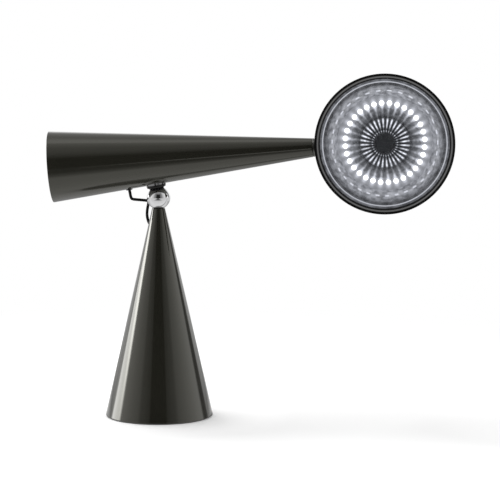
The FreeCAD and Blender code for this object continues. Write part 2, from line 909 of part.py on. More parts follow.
# Lamp head, in its own frame: origin where its axis meets the arm's, +Z out of the rim, +Y up
def make_head_housing():
    """Third cone: a thin shell with a straight band at the rim, shelves inside and a stub for the swivel."""
    rim = head_axis_depth
    back = head_axis_depth - head_length
    band_low = rim - head_band
    outside = turned(
        (
            (0, back),
            (head_back_radius, back, head_back_round),
            (head_radius, band_low),
            (head_radius, rim, rim_round),
            (0, rim),
        )
    )
    shelf_low = flange_back - shelf_height
    ledge_low = sink_back - ledge_height
    inside_back = back + head_wall
    inside = turned(
        (
            (0, inside_back),
            (head_bore(inside_back), inside_back),
            (head_bore(ledge_low - ledge_width), ledge_low - ledge_width),
            (head_bore(sink_back) - ledge_width, ledge_low),
            (head_bore(sink_back) - ledge_width, sink_back),
            (head_bore(sink_back), sink_back),
            (head_bore(shelf_low - shelf_width), shelf_low - shelf_width),
            (band_inner_radius - shelf_width, shelf_low),
            (band_inner_radius - shelf_width, flange_back),
            (band_inner_radius, flange_back),
            (band_inner_radius, rim),
            (0, rim),
        )
    )
    stub_low = stub_end - head_station
    stub_high = -head_bore(0) + lock_ring_clear
    stub = frustum(arm_radius(stub_end), arm_radius(stub_high + head_station), stub_low, stub_high)
    stub_bore = rod(spindle_radius + press_gap, stub_low, 0)
    housing = outside.fuse(lying(stub)).cut(inside).cut(lying(stub_bore))
    return moved(housing.cut(sink_screws()).removeSplitter(), head_place)


def tab_boxes(width, length, low, high):
    """Small blocks at the tab places round the front ring."""
    block = Part.makeBox(length, width, high - low, V(tab_ring_radius - length / 2, -width / 2, low))
    return Part.makeCompound(around(block, tab_count, front_turn + tab_turn))


bezel_front = head_axis_depth - bezel_set_back
tab_floor = bezel_front - bezel_slope - tab_height


def make_bezel_ring():
    """Black ring that holds the lens, sloping inwards, with three pockets."""
    outer = band_inner_radius - press_gap
    ring_shape = bevelled(
        (
            (bezel_inner_radius, bezel_back),
            (outer, bezel_back),
            (outer, bezel_front, bezel_bevel),
            (bezel_inner_radius, bezel_front - bezel_slope, bezel_bevel),
        )
    )
    pockets = tab_boxes(
        tab_width + 2 * tab_pocket_margin, tab_length + 2 * tab_pocket_margin, tab_floor, bezel_front
    )
    return moved(ring_shape.cut(pockets), head_place)


def make_retaining_tabs():
    """Three small catches in the ring's pockets."""
    return moved(tab_boxes(tab_width, tab_length, tab_floor, tab_floor + tab_height), head_place)


def make_lens():
    """Clear flat disc."""
    return moved(rod(glass_radius, lens_back, lens_front), head_place)


def make_lens_gasket():
    """Rubber ring behind the lens."""
    gasket = ring(glass_radius, gasket_inner_radius, gasket_back, lens_back)
    return moved(gasket, head_place)


def make_trim_ring():
    """Bright ring on the reflector's flange."""
    outline = (
        (trim_ring_radius - trim_ring_half_width, gasket_back),
        (trim_ring_radius + trim_ring_half_width, gasket_back),
        (trim_ring_radius + trim_ring_half_width, gasket_back + trim_ring_height, trim_ring_bevel),
        (trim_ring_radius - trim_ring_half_width, gasket_back + trim_ring_height, trim_ring_bevel),
    )
    return moved(bevelled(outline), head_place)


def make_outer_reflector():
    """Bright cone round the light ring, with a flange under the lens."""
    across = reflector_wall / math.cos(math.radians(reflector_half_angle))
    outline = (
        (reflector_foot_radius, board_face),
        (reflector_top_radius, gasket_back),
        (glass_radius, gasket_back),
        (glass_radius, flange_back),
        (reflector_top_radius + across - flange_thickness * reflector_slope, flange_back),
        (reflector_foot_radius + across, board_face),
    )
    return moved(turned(outline), head_place)


def make_led_board():
    """Round circuit board."""
    return moved(ring(board_radius, board_hole_radius, board_back, board_face), head_place)


def make_leds():
    """Ring of square light sources on the board."""
    half = led_side / 2
    led = Part.makeBox(led_side, led_side, led_height, V(led_ring_radius - half, -half, board_face))
    upright = [edge for edge in led.Edges if edge.BoundBox.ZLength > led_height / 2]
    led = led.makeChamfer(led_corner_round, upright)
    return moved(Part.makeCompound(around(led, led_count, front_turn)), head_place)


def fluted_outline(crest, height):
    """The corners of a star, with one crest between each two lights and a flute facing each light."""
    points = []
    for k in range(2 * led_count):
        radius = crest * flute_ratio if k % 2 else crest
        angle = math.radians(front_turn) + math.pi * (k + 1) / led_count
        points.append(V(radius * math.cos(angle), radius * math.sin(angle), height))
    return points


def make_centre_reflector():
    """Fluted mirror cone: a low skirt inside the light ring and a steep cone, one flute to each light."""
    stars = [
        fluted_outline(centre_skirt_radius, board_face),
        fluted_outline(centre_brow_radius, board_face + centre_brow_height),
        fluted_outline(centre_top_radius, board_face + centre_height),
    ]
    corners = [stars[0], stars[-1]]
    for lower, upper in zip(stars, stars[1:]):
        for k, here in enumerate(lower):
            following = (k + 1) % len(lower)
            corners.append([here, lower[following], upper[following], upper[k]])
    facets = [Part.Face(Part.makePolygon([*points, points[0]])) for points in corners]
    body = Part.makeSolid(Part.makeShell(facets))
    if body.Volume < 0:
        body.reverse()
    thread = rod(centre_screw_radius + press_gap, board_face, board_face + centre_screw_hold)
    return moved(body.cut(thread), head_place)


def make_centre_cap():
    """Dark disc on the top of the fluted cone."""
    low = board_face + centre_height
    radius = centre_top_radius * flute_ratio
    outline = (
        (0, low),
        (radius, low),
        (radius, low + centre_cap_thickness, centre_cap_bevel),
        (0, low + centre_cap_thickness),
    )
    return moved(bevelled(outline), head_place)


def make_centre_screw():
    """Screw from behind, through heat sink and board into the fluted cone."""
    screw = rod(centre_screw_radius, sink_back, board_face + centre_screw_hold)
    head = rod(centre_screw_head_radius, sink_back - centre_screw_head_height, sink_back)
    return moved(screw.fuse(head), head_place)


def sink_screws():
    """Screws through the heat sink into the head's ledge, their heads sunk under the board."""
    head_low = board_back - sink_screw_head_depth
    screw = rod(sink_screw_radius, board_back - sink_screw_length, head_low)
    screw = screw.fuse(rod(sink_screw_head_radius, head_low, board_back))
    screw.translate(V(sink_screw_circle, 0, 0))
    return Part.makeCompound(around(screw, sink_screw_count, sink_screw_turn))


def make_heat_sink():
    """Plate with straight fins towards the back of the head."""
    plate = rod(board_radius, sink_back, board_back)
    fins = []
    first = -(fin_count - 1) * fin_pitch / 2
    for k in range(fin_count):
        corner = V(first + k * fin_pitch - fin_thickness / 2, -fin_reach, sink_back - fin_height)
        fins.append(Part.makeBox(fin_thickness, 2 * fin_reach, fin_height + fin_thickness / 2, corner))
    block = Part.makeCompound(fins).common(rod(fin_reach, sink_back - fin_height, sink_back + fin_thickness))
    sink = plate.fuse(block.Solids).cut(rod(centre_screw_radius + press_gap, sink_back, board_back))
    notch_start = lock_ring_low - head_station - board_radius
    notch_end = lock_ring_high - head_station + spindle_tail + loose_gap
    notch = lying(rod(lock_ring_radius + loose_gap, notch_start, notch_end))
    return moved(sink.cut(notch).cut(sink_screws()).removeSplitter(), head_place)


# Cable
def cable_route():
    """The cable's corner points, from inside the arm to inside the neck."""
    outlet = arm_place.multiply(arm_cable_place())
    start = outlet.multVec(V(0, 0, -cable_inside_arm))
    below = outlet.multVec(V(0, 0, cable_drop))
    inlet = neck_hole_place()
    surface = base_radius(cable_entry_height)
    last_corner = inlet.multVec(V(0, 0, surface + cable_entry_reach))
    end = inlet.multVec(V(0, 0, surface - cable_inside_neck))
    past_ball = [point + V(0, 0, base_height) for point in cable_points]
    return [start, below, *past_ball, last_corner, end]


def cable_radii(route):
    """Each corner's radius: as large as its runs allow, but no larger than the photographed bends."""
    radii = [0.0] * len(route)
    for index in range(1, len(route) - 1):
        back = route[index - 1] - route[index]
        ahead = route[index + 1] - route[index]
        turn = math.pi - back.getAngle(ahead)
        largest = cable_run_share * min(back.Length, ahead.Length) / math.tan(turn / 2)
        tight = turn > math.radians(cable_slight_turn)
        radii[index] = min(largest, cable_corner_radius) if tight else largest
    return radii


def make_jumper_cable():
    """Round cable on straight runs and tangent arcs."""
    route = cable_route()
    radii = cable_radii(route)
    path = joined_runs(route, radii, False)
    start = (route[1] - route[0]).normalize()
    section = Part.Wire(Part.makeCircle(cable_radius, route[0], start))
    tube = path.makePipeShell([section], True, False)
    expected = math.pi * cable_radius**2 * path.Length
    print("cable radii", [round(radius, 2) for radius in radii[1:-1]], "length", round(path.Length, 2))
    print("cable volume", round(tube.Volume, 2), "section times length", round(expected, 2))
    steps = path.discretize(Distance=cable_check_step)
    nearest = min(point.distanceToPoint(ball_centre) for point in steps)
    print("cable clears the ball by", round(nearest - ball_radius - cable_radius, 2))
    return tube


os.makedirs("parts", exist_ok=True)

save("base_shell", make_base_shell())
save("foot_pad", make_foot_pad())
save("bottom_plate", make_bottom_plate())
save("bottom_screws", plate_screws())
save("base_ballast", make_ballast())
save("tie_rod", make_tie_rod())
save("tie_rod_nut", make_tie_rod_nut())
save("tie_rod_washer", make_tie_rod_washer())
save("neck_plug", make_neck_plug())
save("ball_stud", make_ball_stud())
save("driver_case", make_driver_case())
save("terminal_block", make_terminal_block())
save("cord_gland", make_cord_gland())
save("gland_nut", make_gland_nut())
save("lower_cable_grommet", make_lower_grommet())
save("switch_housing", make_switch_housing())
save("switch_body", make_switch_body())
save("switch_button", make_switch_button())
save("pivot_ball", make_pivot_ball())
save("socket_liner", make_socket_liner())
save("socket_cup", make_socket_cup())
save("socket_magnet", make_socket_magnet())
save("socket_screw", make_socket_screw())
save("arm_saddle", make_arm_saddle())
save("arm_shell", make_arm_shell())
save("upper_cable_grommet", make_upper_grommet())
save("arm_end_cap", make_arm_end_cap())
save("end_cap_screws", on_arm(cap_screws_sunk()))
save("counterweight", make_counterweight())
save("tip_bush", make_tip_bush())
save("swivel_ring", make_swivel_ring())
save("swivel_spindle", make_swivel_spindle())
save("spindle_nut", make_spindle_nut())
save("spring_washer", make_spring_washer())
save("spindle_lock_ring", make_lock_ring())
save("head_housing", make_head_housing())
save("bezel_ring", make_bezel_ring())
save("retaining_tabs", make_retaining_tabs())
save("lens", make_lens())
save("lens_gasket", make_lens_gasket())
save("trim_ring", make_trim_ring())
save("outer_reflector", make_outer_reflector())
save("led_board", make_led_board())
save("leds", make_leds())
save("centre_reflector", make_centre_reflector())
save("centre_cap", make_centre_cap())
save("centre_screw", make_centre_screw())
save("heat_sink", make_heat_sink())
save("heat_sink_screws", moved(sink_screws(), head_place))
save("jumper_cable", make_jumper_cable())

print("ball centre", [round(value, 3) for value in ball_centre])
print("arm height", round(arm_height, 3), "head station", round(head_station, 3))
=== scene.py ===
# %% [markdown]
# # A tabletop searchlight lamp
# The lamp is three painted cones. One stands on the table, one lies across it on a chrome ball, and
# one is the lamp head, seen from the front with its ring of lights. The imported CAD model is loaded
# first as a fixed frame. Everything below gives its pieces their finish, or stands smooth pieces in
# the places of those whose curved faces show.

import json
import math

import bpy
from mathutils import Matrix, Vector


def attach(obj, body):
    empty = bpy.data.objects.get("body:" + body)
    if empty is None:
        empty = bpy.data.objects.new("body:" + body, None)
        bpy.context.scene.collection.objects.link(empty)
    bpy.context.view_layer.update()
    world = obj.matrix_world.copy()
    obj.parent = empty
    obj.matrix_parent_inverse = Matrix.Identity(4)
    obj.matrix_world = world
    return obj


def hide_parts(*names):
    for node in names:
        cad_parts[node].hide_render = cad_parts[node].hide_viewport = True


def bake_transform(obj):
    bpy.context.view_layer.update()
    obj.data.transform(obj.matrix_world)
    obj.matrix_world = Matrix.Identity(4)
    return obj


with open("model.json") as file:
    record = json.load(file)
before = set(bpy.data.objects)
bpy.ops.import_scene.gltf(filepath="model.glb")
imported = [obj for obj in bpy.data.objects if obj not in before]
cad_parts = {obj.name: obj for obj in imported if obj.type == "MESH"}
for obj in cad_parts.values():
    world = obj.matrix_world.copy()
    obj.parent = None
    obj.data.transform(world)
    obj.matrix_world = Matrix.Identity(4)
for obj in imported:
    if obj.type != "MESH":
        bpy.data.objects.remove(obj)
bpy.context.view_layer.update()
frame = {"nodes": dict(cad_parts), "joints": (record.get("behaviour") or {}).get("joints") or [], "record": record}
bpy.ops.object.select_all(action="DESELECT")
print("CAD nodes:", len(frame["nodes"]))

# %% [markdown]
# ## Three frames to work in
# The base stands on Z. The arm's own frame and the head's own frame come from the joints of the packed
# record: the swivel's axis is the arm's axis, and the head sits on it at a known distance. A round
# piece is then made about Z, in its own frame, and laid in place at the end.

# %% Frames of base, arm and head
joints = {joint["name"]: joint for joint in frame["joints"]}
ball_centre = Vector(joints["arm_tilt"]["pos_m"])
arm_centre = Vector(joints["head_swivel"]["pos_m"])
arm_direction = Vector(joints["head_swivel"]["axis"]).normalized()
head_station = 0.2506  # along the arm, from over the ball to the head's middle
head_lift = math.radians(3.09)  # the head looks up a little

lay_on_x = Matrix.Rotation(math.pi / 2, 4, "Y")
arm_tilt = Matrix.Rotation(-math.atan2(arm_direction.z, arm_direction.x), 4, "Y")
arm_frame = Matrix.Translation(arm_centre) @ arm_tilt
along_arm = arm_frame @ lay_on_x
head_turn = Matrix.Rotation(math.pi / 2 - head_lift, 4, "X")
head_frame = arm_frame @ Matrix.Translation((head_station, 0, 0)) @ head_turn
print("head's middle at", [round(value, 4) for value in head_frame.translation])

# %% [markdown]
# ## The camera
# The photograph was taken from far away with a long lens, a little above the lamp. The place, the aim
# and the lens come from fitting the outlines of the three cones.

# %% Camera
camera_place = Vector((0.2673, -3.3208, 0.6468))
camera_turn = math.radians(2.863)
camera_pitch = math.radians(7.882)
camera_data = bpy.data.cameras.new("camera")
camera_data.lens = 218.5
camera_data.sensor_width = 36.0
camera = bpy.data.objects.new("camera", camera_data)
bpy.context.scene.collection.objects.link(camera)
camera.location = camera_place
camera.rotation_euler = (math.pi / 2 - camera_pitch, 0, camera_turn)
bpy.context.scene.camera = camera
bpy.context.scene.view_settings.view_transform = "Standard"
print("camera", round((camera_place - ball_centre).length, 2), "m from the ball")

# %% [markdown]
# ## Helpers for materials
# Every finish is a small graph of nodes around one Principled shader. These helpers keep the graphs
# short to read. One adds a node, and the others each add one common step: a sum, a ramp of colours, a
# soft step, a mix, a noise or a bump.


# %% Node helpers
def add_node(tree, kind, settings=None, inputs=None):
    """Adds a node, sets its options and fills its inputs with numbers or links."""
    made = tree.nodes.new(kind)
    for key, value in (settings or {}).items():
        setattr(made, key, value)
    for key, value in (inputs or {}).items():
        if isinstance(value, bpy.types.NodeSocket):
            tree.links.new(value, made.inputs[key])
        else:
            made.inputs[key].default_value = value
    return made


def sum_of(tree, operation, first, second=0.0, third=0.0):
    """One arithmetic step. Returns its output."""
    inputs = {0: first, 1: second, 2: third}
    return add_node(tree, "ShaderNodeMath", {"operation": operation}, inputs).outputs[0]


def times(tree, first, second):
    """One number multiplied by another."""
    return sum_of(tree, "MULTIPLY", first, second)


def gap_from(tree, value, centre=0.0):
    """How far a number is from a centre, to either side."""
    return sum_of(tree, "ABSOLUTE", sum_of(tree, "SUBTRACT", value, centre))


# %% Ramps, steps and mixes
def ramp(tree, factor, stops):
    """A colour ramp from (place, colour) stops. A number stands for a grey."""
    made = add_node(tree, "ShaderNodeValToRGB", inputs={"Fac": factor})
    points = made.color_ramp.elements
    while len(points) < len(stops):
        points.new(1.0)
    for point, (place, colour) in zip(points, stops):
        point.position = place
        is_grey = isinstance(colour, (int, float))
        point.color = (colour, colour, colour, 1) if is_grey else (*colour, 1)
    return made.outputs["Color"]


def step_between(tree, value, low, high, start=0.0, end=1.0):
    """Changes smoothly from start to end as value goes from low to high."""
    inputs = {"Value": value, "From Min": low, "From Max": high, "To Min": start, "To Max": end}
    made = add_node(tree, "ShaderNodeMapRange", {"interpolation_type": "SMOOTHSTEP"}, inputs)
    return made.outputs["Result"]


def mixed(tree, factor, first, second, blend="MIX"):
    """A mix of two colours."""
    settings = {"data_type": "RGBA", "blend_type": blend}
    return add_node(tree, "ShaderNodeMix", settings, {0: factor, 6: first, 7: second}).outputs[2]


# %% Noise, bumps and vectors
def noise(tree, place, scale, detail):
    """A soft random pattern of numbers, most of them near a half."""
    inputs = {"Vector": place, "Scale": scale, "Detail": detail}
    return add_node(tree, "ShaderNodeTexNoise", inputs=inputs).outputs["Fac"]


def bumped(tree, height, strength, distance):
    """The surface's direction, as tiny heights would tilt it."""
    inputs = {"Height": height, "Strength": strength, "Distance": distance}
    return add_node(tree, "ShaderNodeBump", inputs=inputs).outputs["Normal"]


def parts_of(tree, vector):
    """The X, Y and Z of a vector."""
    return add_node(tree, "ShaderNodeSeparateXYZ", inputs={"Vector": vector}).outputs


def length_of(tree, vector):
    """The length of a vector."""
    return add_node(tree, "ShaderNodeVectorMath", {"operation": "LENGTH"}, {0: vector}).outputs["Value"]


def shader_of(material):
    """The Principled shader of a material."""
    return material.node_tree.nodes["Principled BSDF"]


# %% [markdown]
# ## Plain finishes
# Paint, chrome, rubber and machined metal differ in a handful of values, but each has the same build:
# a fine grain that shifts the colour a little, a broader one that shifts the roughness, and a tiny
# bump. The paint's grain is so fine that it only breaks up the colour. Rubber and cable have a finer
# and deeper one, and cast iron a coarse one.

# %% One function for plain finishes
noise_low = 0.3
noise_high = 0.7
grain_depth = 0.0002
broad_ratio = 40  # the broad pattern's patches are so many times as wide as the fine grain


def plain_finish(name, dark, light, roughness, metallic=0.0, ior=1.5, grain=900.0, bump=0.02):
    """A Principled material with a fine grain in colour, roughness and height."""
    material = bpy.data.materials.new(name)
    material.use_nodes = True
    tree = material.node_tree
    shader = shader_of(material)
    place = add_node(tree, "ShaderNodeTexCoord").outputs["Object"]
    fine = noise(tree, place, grain, 3.0)
    broad = noise(tree, place, grain / broad_ratio, 2.0)
    both = sum_of(tree, "MULTIPLY_ADD", fine, 0.6, times(tree, broad, 0.4))
    colour = ramp(tree, both, [(noise_low, dark), (noise_high, light)])
    tree.links.new(colour, shader.inputs["Base Color"])
    rough = step_between(tree, broad, noise_low, noise_high, roughness[0], roughness[1])
    tree.links.new(rough, shader.inputs["Roughness"])
    tree.links.new(bumped(tree, fine, bump, grain_depth), shader.inputs["Normal"])
    shader.inputs["Metallic"].default_value = metallic
    shader.inputs["IOR"].default_value = ior
    return material


# %% Paint and metals
paint = plain_finish("olive_paint", (0.0152, 0.0148, 0.0112), (0.0195, 0.0188, 0.0142), (0.06, 0.1), ior=1.6)
shader_of(paint).inputs["Specular Tint"].default_value = (1.0, 0.99, 0.90, 1.0)
chrome = plain_finish("chrome", (0.58, 0.58, 0.59), (0.66, 0.66, 0.66), (0.03, 0.06), 1.0, bump=0.004)
dark_chrome = plain_finish(
    "dark_chrome", (0.16, 0.16, 0.165), (0.23, 0.23, 0.23), (0.06, 0.12), 1.0, bump=0.004
)
dark_satin = plain_finish("dark_satin", (0.09, 0.09, 0.085), (0.15, 0.15, 0.14), (0.25, 0.4), 1.0)
satin_metal = plain_finish("satin_metal", (0.30, 0.30, 0.28), (0.42, 0.42, 0.40), (0.25, 0.35), 1.0)
zinc_steel = plain_finish("zinc_steel", (0.42, 0.43, 0.44), (0.56, 0.56, 0.57), (0.28, 0.42), 1.0, bump=0.05)
black_metal = plain_finish("black_metal", (0.006, 0.006, 0.0065), (0.011, 0.011, 0.011), (0.2, 0.3))
cast_iron = plain_finish(
    "cast_iron", (0.03, 0.03, 0.03), (0.08, 0.078, 0.075), (0.6, 0.85), 0.7, grain=500.0, bump=0.5
)
brass = plain_finish("brass", (0.50, 0.35, 0.12), (0.62, 0.45, 0.18), (0.25, 0.4), 1.0)

# %% Rubber and plastics
black_plastic = plain_finish(
    "black_plastic", (0.012, 0.012, 0.013), (0.02, 0.02, 0.021), (0.4, 0.55), bump=0.1
)
rubber = plain_finish(
    "black_rubber", (0.01, 0.01, 0.01), (0.02, 0.02, 0.019), (0.6, 0.8), grain=1400.0, bump=0.2
)
jacket = plain_finish(
    "cable_jacket", (0.003, 0.003, 0.003), (0.007, 0.007, 0.007), (0.65, 0.8), grain=1800.0, bump=0.1
)
shader_of(jacket).inputs["Specular IOR Level"].default_value = 0.2
pale_plastic = plain_finish("pale_plastic", (0.55, 0.54, 0.50), (0.65, 0.64, 0.60), (0.45, 0.6), bump=0.05)
gasket_rubber = plain_finish(
    "gasket_rubber", (0.02, 0.02, 0.021), (0.035, 0.035, 0.036), (0.5, 0.7), bump=0.1
)
print("materials so far:", len(bpy.data.materials))

# %% [markdown]
# ## The optic's finishes
# The lit head is bright where the lights are reflected, and these reflections are painted as glow: a
# tail from each light over the low skirt, a streak on the steep cone, a fine row of dots round the dark
# cap, and a short dash on the outer reflector. Thirty-two of each stand at the same angles as the
# lights. The painted reflections are laid out in the head's own polar coordinates, a radius and an
# angle about its axis, so they stay on the surfaces from every side.

# %% Polar coordinates in the head's frame
light_count = 32
front_turn = math.radians(0.7)  # of lights, flutes and tabs, from the arm's direction
front_frame = head_frame @ Matrix.Rotation(front_turn, 4, "Z")


def in_frame(tree, own_frame):
    """Object coordinates as they are in one of the lamp's own frames."""
    place = add_node(tree, "ShaderNodeTexCoord").outputs["Object"]
    inputs = {"Vector": place, "Location": own_frame.translation, "Rotation": own_frame.to_euler()}
    return add_node(tree, "ShaderNodeMapping", {"vector_type": "TEXTURE"}, inputs).outputs["Vector"]


def radius_of(tree, local):
    """The distance from the frame's own axis, in metres."""
    parts = parts_of(tree, local)
    flat = add_node(tree, "ShaderNodeCombineXYZ", inputs={"X": parts["X"], "Y": parts["Y"]}).outputs[0]
    return length_of(tree, flat)


def wave_of(tree, local, centre=(0.0, 0.0)):
    """A wave round a centre, which is 1 at each light's angle and 0 halfway between two."""
    parts = parts_of(tree, local)
    across = sum_of(tree, "SUBTRACT", parts["X"], centre[0])
    upward = sum_of(tree, "SUBTRACT", parts["Y"], centre[1])
    angle = sum_of(tree, "ARCTAN2", upward, across)
    swing = sum_of(tree, "COSINE", times(tree, angle, float(light_count)))
    return sum_of(tree, "MULTIPLY_ADD", swing, 0.5, 0.5)


# %% [markdown]
# The painted glow along the radius is written as a few pairs: millimetres from the axis, and the grey
# that a screen should show there. A screen's grey isn't a measure of light, so it is converted first.
# Real reflectors also have soft smudges, and a noise turns the painted glow up and down in patches.

# %% Helpers for the glow
smudge_from = 0.32
smudge_most = 1.42


def grey(level):
    """A screen's grey from 0 to 255, as the amount of light that shows it, slightly blue."""
    share = level / 255
    light = share / 12.92 if share < 0.04045 else ((share + 0.055) / 1.055) ** 2.4
    return (light * 0.95, light * 0.98, light * 1.08)


def own_finish(name, base, roughness, metallic, glow=1.0):
    """A new material whose pattern is filled in by what follows, with the strength of its glow."""
    material = bpy.data.materials.new(name)
    material.use_nodes = True
    shader = shader_of(material)
    shader.inputs["Base Color"].default_value = (*base, 1)
    shader.inputs["Roughness"].default_value = roughness
    shader.inputs["Metallic"].default_value = metallic
    shader.inputs["Emission Strength"].default_value = glow
    return material, material.node_tree, shader


def by_radius(tree, radius, greys):
    """A painted glow that follows (millimetres from the axis, screen's grey) pairs."""
    low, high = greys[0][0], greys[-1][0]
    inputs = {"Value": radius, "From Min": low / 1000, "From Max": high / 1000}
    share = add_node(tree, "ShaderNodeMapRange", inputs=inputs).outputs[0]
    return ramp(tree, share, [((at - low) / (high - low), grey(level)) for at, level in greys])


def smudged_reflection(tree, colour, pattern, clean_from, least):
    """A painted glow that a pattern turns down to its least share or up to its most, in soft patches."""
    share = step_between(tree, pattern, smudge_from, clean_from, least, smudge_most)
    inputs = {0: colour, "Scale": share}
    return add_node(tree, "ShaderNodeVectorMath", {"operation": "SCALE"}, inputs).outputs[0]


# %% The fluted cone's finish
cone_mirror, tree, shader = own_finish("cone_mirror", (0.03, 0.031, 0.034), 0.3, 0.9)
local = in_frame(tree, front_frame)
radius = radius_of(tree, local)
# painted reflections of the lights: emission greys by radius, between the lights and facing them
steep_gaps = [(11.2, 30), (12.6, 22), (14.4, 20), (15.5, 14), (18.0, 18), (21.0, 26), (26.0, 44)]
skirt_gaps = [(28.5, 56), (31.0, 84), (34.0, 98), (38.0, 124), (41.0, 156)]
dots = [(11.2, 56), (12.6, 100), (13.5, 215), (14.2, 160), (15.0, 70)]
streaks = [(16.5, 124), (18.6, 226), (21.0, 255), (24.0, 255), (25.8, 222)]
tails = [(27.6, 90), (30.0, 112), (33.0, 146), (37.0, 192), (41.0, 246)]
painted_glow_between = by_radius(tree, radius, steep_gaps + skirt_gaps)
painted_glow_facing = by_radius(tree, radius, dots + streaks + tails)
narrowed = sum_of(tree, "POWER", wave_of(tree, local), 3.0)
glow = mixed(tree, narrowed, painted_glow_between, painted_glow_facing)
glow = smudged_reflection(tree, glow, noise(tree, local, 260.0, 3.0), 0.68, 0.62)
tree.links.new(glow, shader.inputs["Emission Color"])
print("fluted cone's finish:", len(tree.nodes), "nodes")

# %% [markdown]
# The outer reflector's brightness is painted glow, and its short dashes are painted reflections of the
# lights. Seen from a little above, they fan out from a point below the head's middle, so their angle is measured
# from there.

# %% The outer reflector's finish
dash_radius = 0.0575
dash_centre = (-0.0025, -0.0042)
dash_half_length = 0.0011

reflector_mirror, tree, shader = own_finish("reflector_mirror", (0.04, 0.04, 0.043), 0.3, 0.8)
local = in_frame(tree, front_frame)
radius = radius_of(tree, local)
# painted glow over the whole reflector, with the painted dashes laid over it below
bowl = [(51.8, 142), (55.0, 146), (58.0, 146), (59.4, 140), (60.8, 132), (62.2, 118), (63.6, 96)]
flange = [(64.6, 80), (65.8, 84), (66.8, 96), (68.4, 108), (69.6, 104), (70.6, 92)]
painted_bowl_glow = by_radius(tree, radius, bowl + flange)
painted_bowl_glow = smudged_reflection(tree, painted_bowl_glow, noise(tree, local, 170.0, 5.0), 0.7, 0.52)
near_ring = step_between(tree, gap_from(tree, radius, dash_radius), 0.0003, dash_half_length, 1.0, 0.0)
near_light = step_between(tree, wave_of(tree, local, dash_centre), 0.45, 0.85, 0.0, 0.8)
glow = mixed(tree, times(tree, near_ring, near_light), painted_bowl_glow, (*grey(240), 1))
tree.links.new(glow, shader.inputs["Emission Color"])
print("outer reflector's finish:", len(tree.nodes), "nodes")

# %% [markdown]
# The board that carries the lights is lacquered, with a painted pool of light beside each light. The
# lights glow white, a little bluer at their edges. The trim is metal with a painted highlight, a thin
# line of glow, and the cap in the middle is dark and plain.

# %% The board, the lights, the trim and the dark cap
board_finish, tree, shader = own_finish("board_lacquer_painted_light", (0.05, 0.05, 0.055), 0.35, 0.2)
local = in_frame(tree, front_frame)
radius = radius_of(tree, local)
# painted light: a bright pool facing each light, and the dimmer glow in the gaps between them
painted_gaps = [(36.0, 96), (40.0, 138), (43.5, 166), (47.0, 158), (50.0, 142), (53.0, 136)]
painted_pools = [(36.0, 198), (40.0, 245), (43.5, 254), (47.2, 222), (50.0, 168), (53.0, 142)]
painted_glow_between = by_radius(tree, radius, painted_gaps)
painted_glow_facing = by_radius(tree, radius, painted_pools)
narrowed = sum_of(tree, "POWER", wave_of(tree, local), 1.4)
tree.links.new(mixed(tree, narrowed, painted_glow_between, painted_glow_facing), shader.inputs["Emission Color"])

light_finish, tree, shader = own_finish("glowing_light", (0.8, 0.8, 0.8), 0.4, 0.0, glow=1.6)
wave = wave_of(tree, in_frame(tree, front_frame))
tint = ramp(tree, wave, [(0.0, (0.9, 0.94, 1.0)), (1.0, (1.0, 1.0, 1.0))])
tree.links.new(tint, shader.inputs["Emission Color"])

trim_finish, tree, shader = own_finish("bright_trim", (0.35, 0.35, 0.36), 0.2, 1.0)
radius = radius_of(tree, in_frame(tree, front_frame))
# painted highlight: a thin ring of glow across the trim's middle
line = by_radius(tree, radius, [(66.8, 100), (67.3, 192), (67.9, 192), (68.4, 100)])
tree.links.new(line, shader.inputs["Emission Color"])

cap_finish = plain_finish("dark_cap", (0.022, 0.023, 0.027), (0.030, 0.031, 0.036), (0.3, 0.4), ior=1.45)
print("materials so far:", len(bpy.data.materials))

# %% [markdown]
# The front ring is black, with a painted highlight: a lighter band of colour on its slope that shows as
# a thin grey circle. Fine rings from the lathe tool are a bump on all of it.

# %% The front ring's finish
highlight_radius = 0.0729
ring_finish, tree, shader = own_finish("turned_ring", (0.01, 0.01, 0.01), 0.32, 0.0, glow=0.0)
shader.inputs["Specular IOR Level"].default_value = 0.2
local = in_frame(tree, front_frame)
# painted highlight: the base colour is lighter in a narrow band at one radius
off_highlight = gap_from(tree, radius_of(tree, local), highlight_radius)
painted_highlight_band = ramp(tree, step_between(tree, off_highlight, 0.0004, 0.0012), [(0.0, 0.17), (1.0, 0.003)])
tree.links.new(painted_highlight_band, shader.inputs["Base Color"])
ring_settings = {"wave_type": "RINGS", "rings_direction": "SPHERICAL"}
turned = add_node(tree, "ShaderNodeTexWave", ring_settings, {"Vector": local, "Scale": 900.0})
tree.links.new(bumped(tree, turned.outputs["Fac"], 0.05, 0.0001), shader.inputs["Normal"])
print("front ring's finish:", len(tree.nodes), "nodes")

# %% [markdown]
# The narrow lip in front of the ring looks away from every lamp, and the dark room in front of it shows
# there. The head's paint is a copy of the plain paint with painted shade that turns it nearly black at the lip.

# %% The head's paint
lip_starts = 0.0436  # above the arm's axis, in the head's own frame
lip_full = 0.0446
head_paint = paint.copy()
head_paint.name = "head_paint"
tree = head_paint.node_tree
shader = shader_of(head_paint)
forward = parts_of(tree, in_frame(tree, front_frame))["Z"]
# painted shade: the base colour turns nearly black, and less glossy, at the lip
painted_lip_shade = step_between(tree, forward, lip_starts, lip_full)
coat = shader.inputs["Base Color"].links[0].from_socket
tree.links.new(mixed(tree, painted_lip_shade, coat, (0.002, 0.002, 0.002, 1)), shader.inputs["Base Color"])
gloss = sum_of(tree, "MULTIPLY_ADD", painted_lip_shade, -0.4, 0.5)
tree.links.new(gloss, shader.inputs["Specular IOR Level"])
print("head's paint:", len(tree.nodes), "nodes")

# %% [markdown]
# ## The clear front
# A flat clear disc, seen straight on, shows almost nothing of itself. It is mostly transparent, with a
# smooth surface that catches a reflection at a slant.

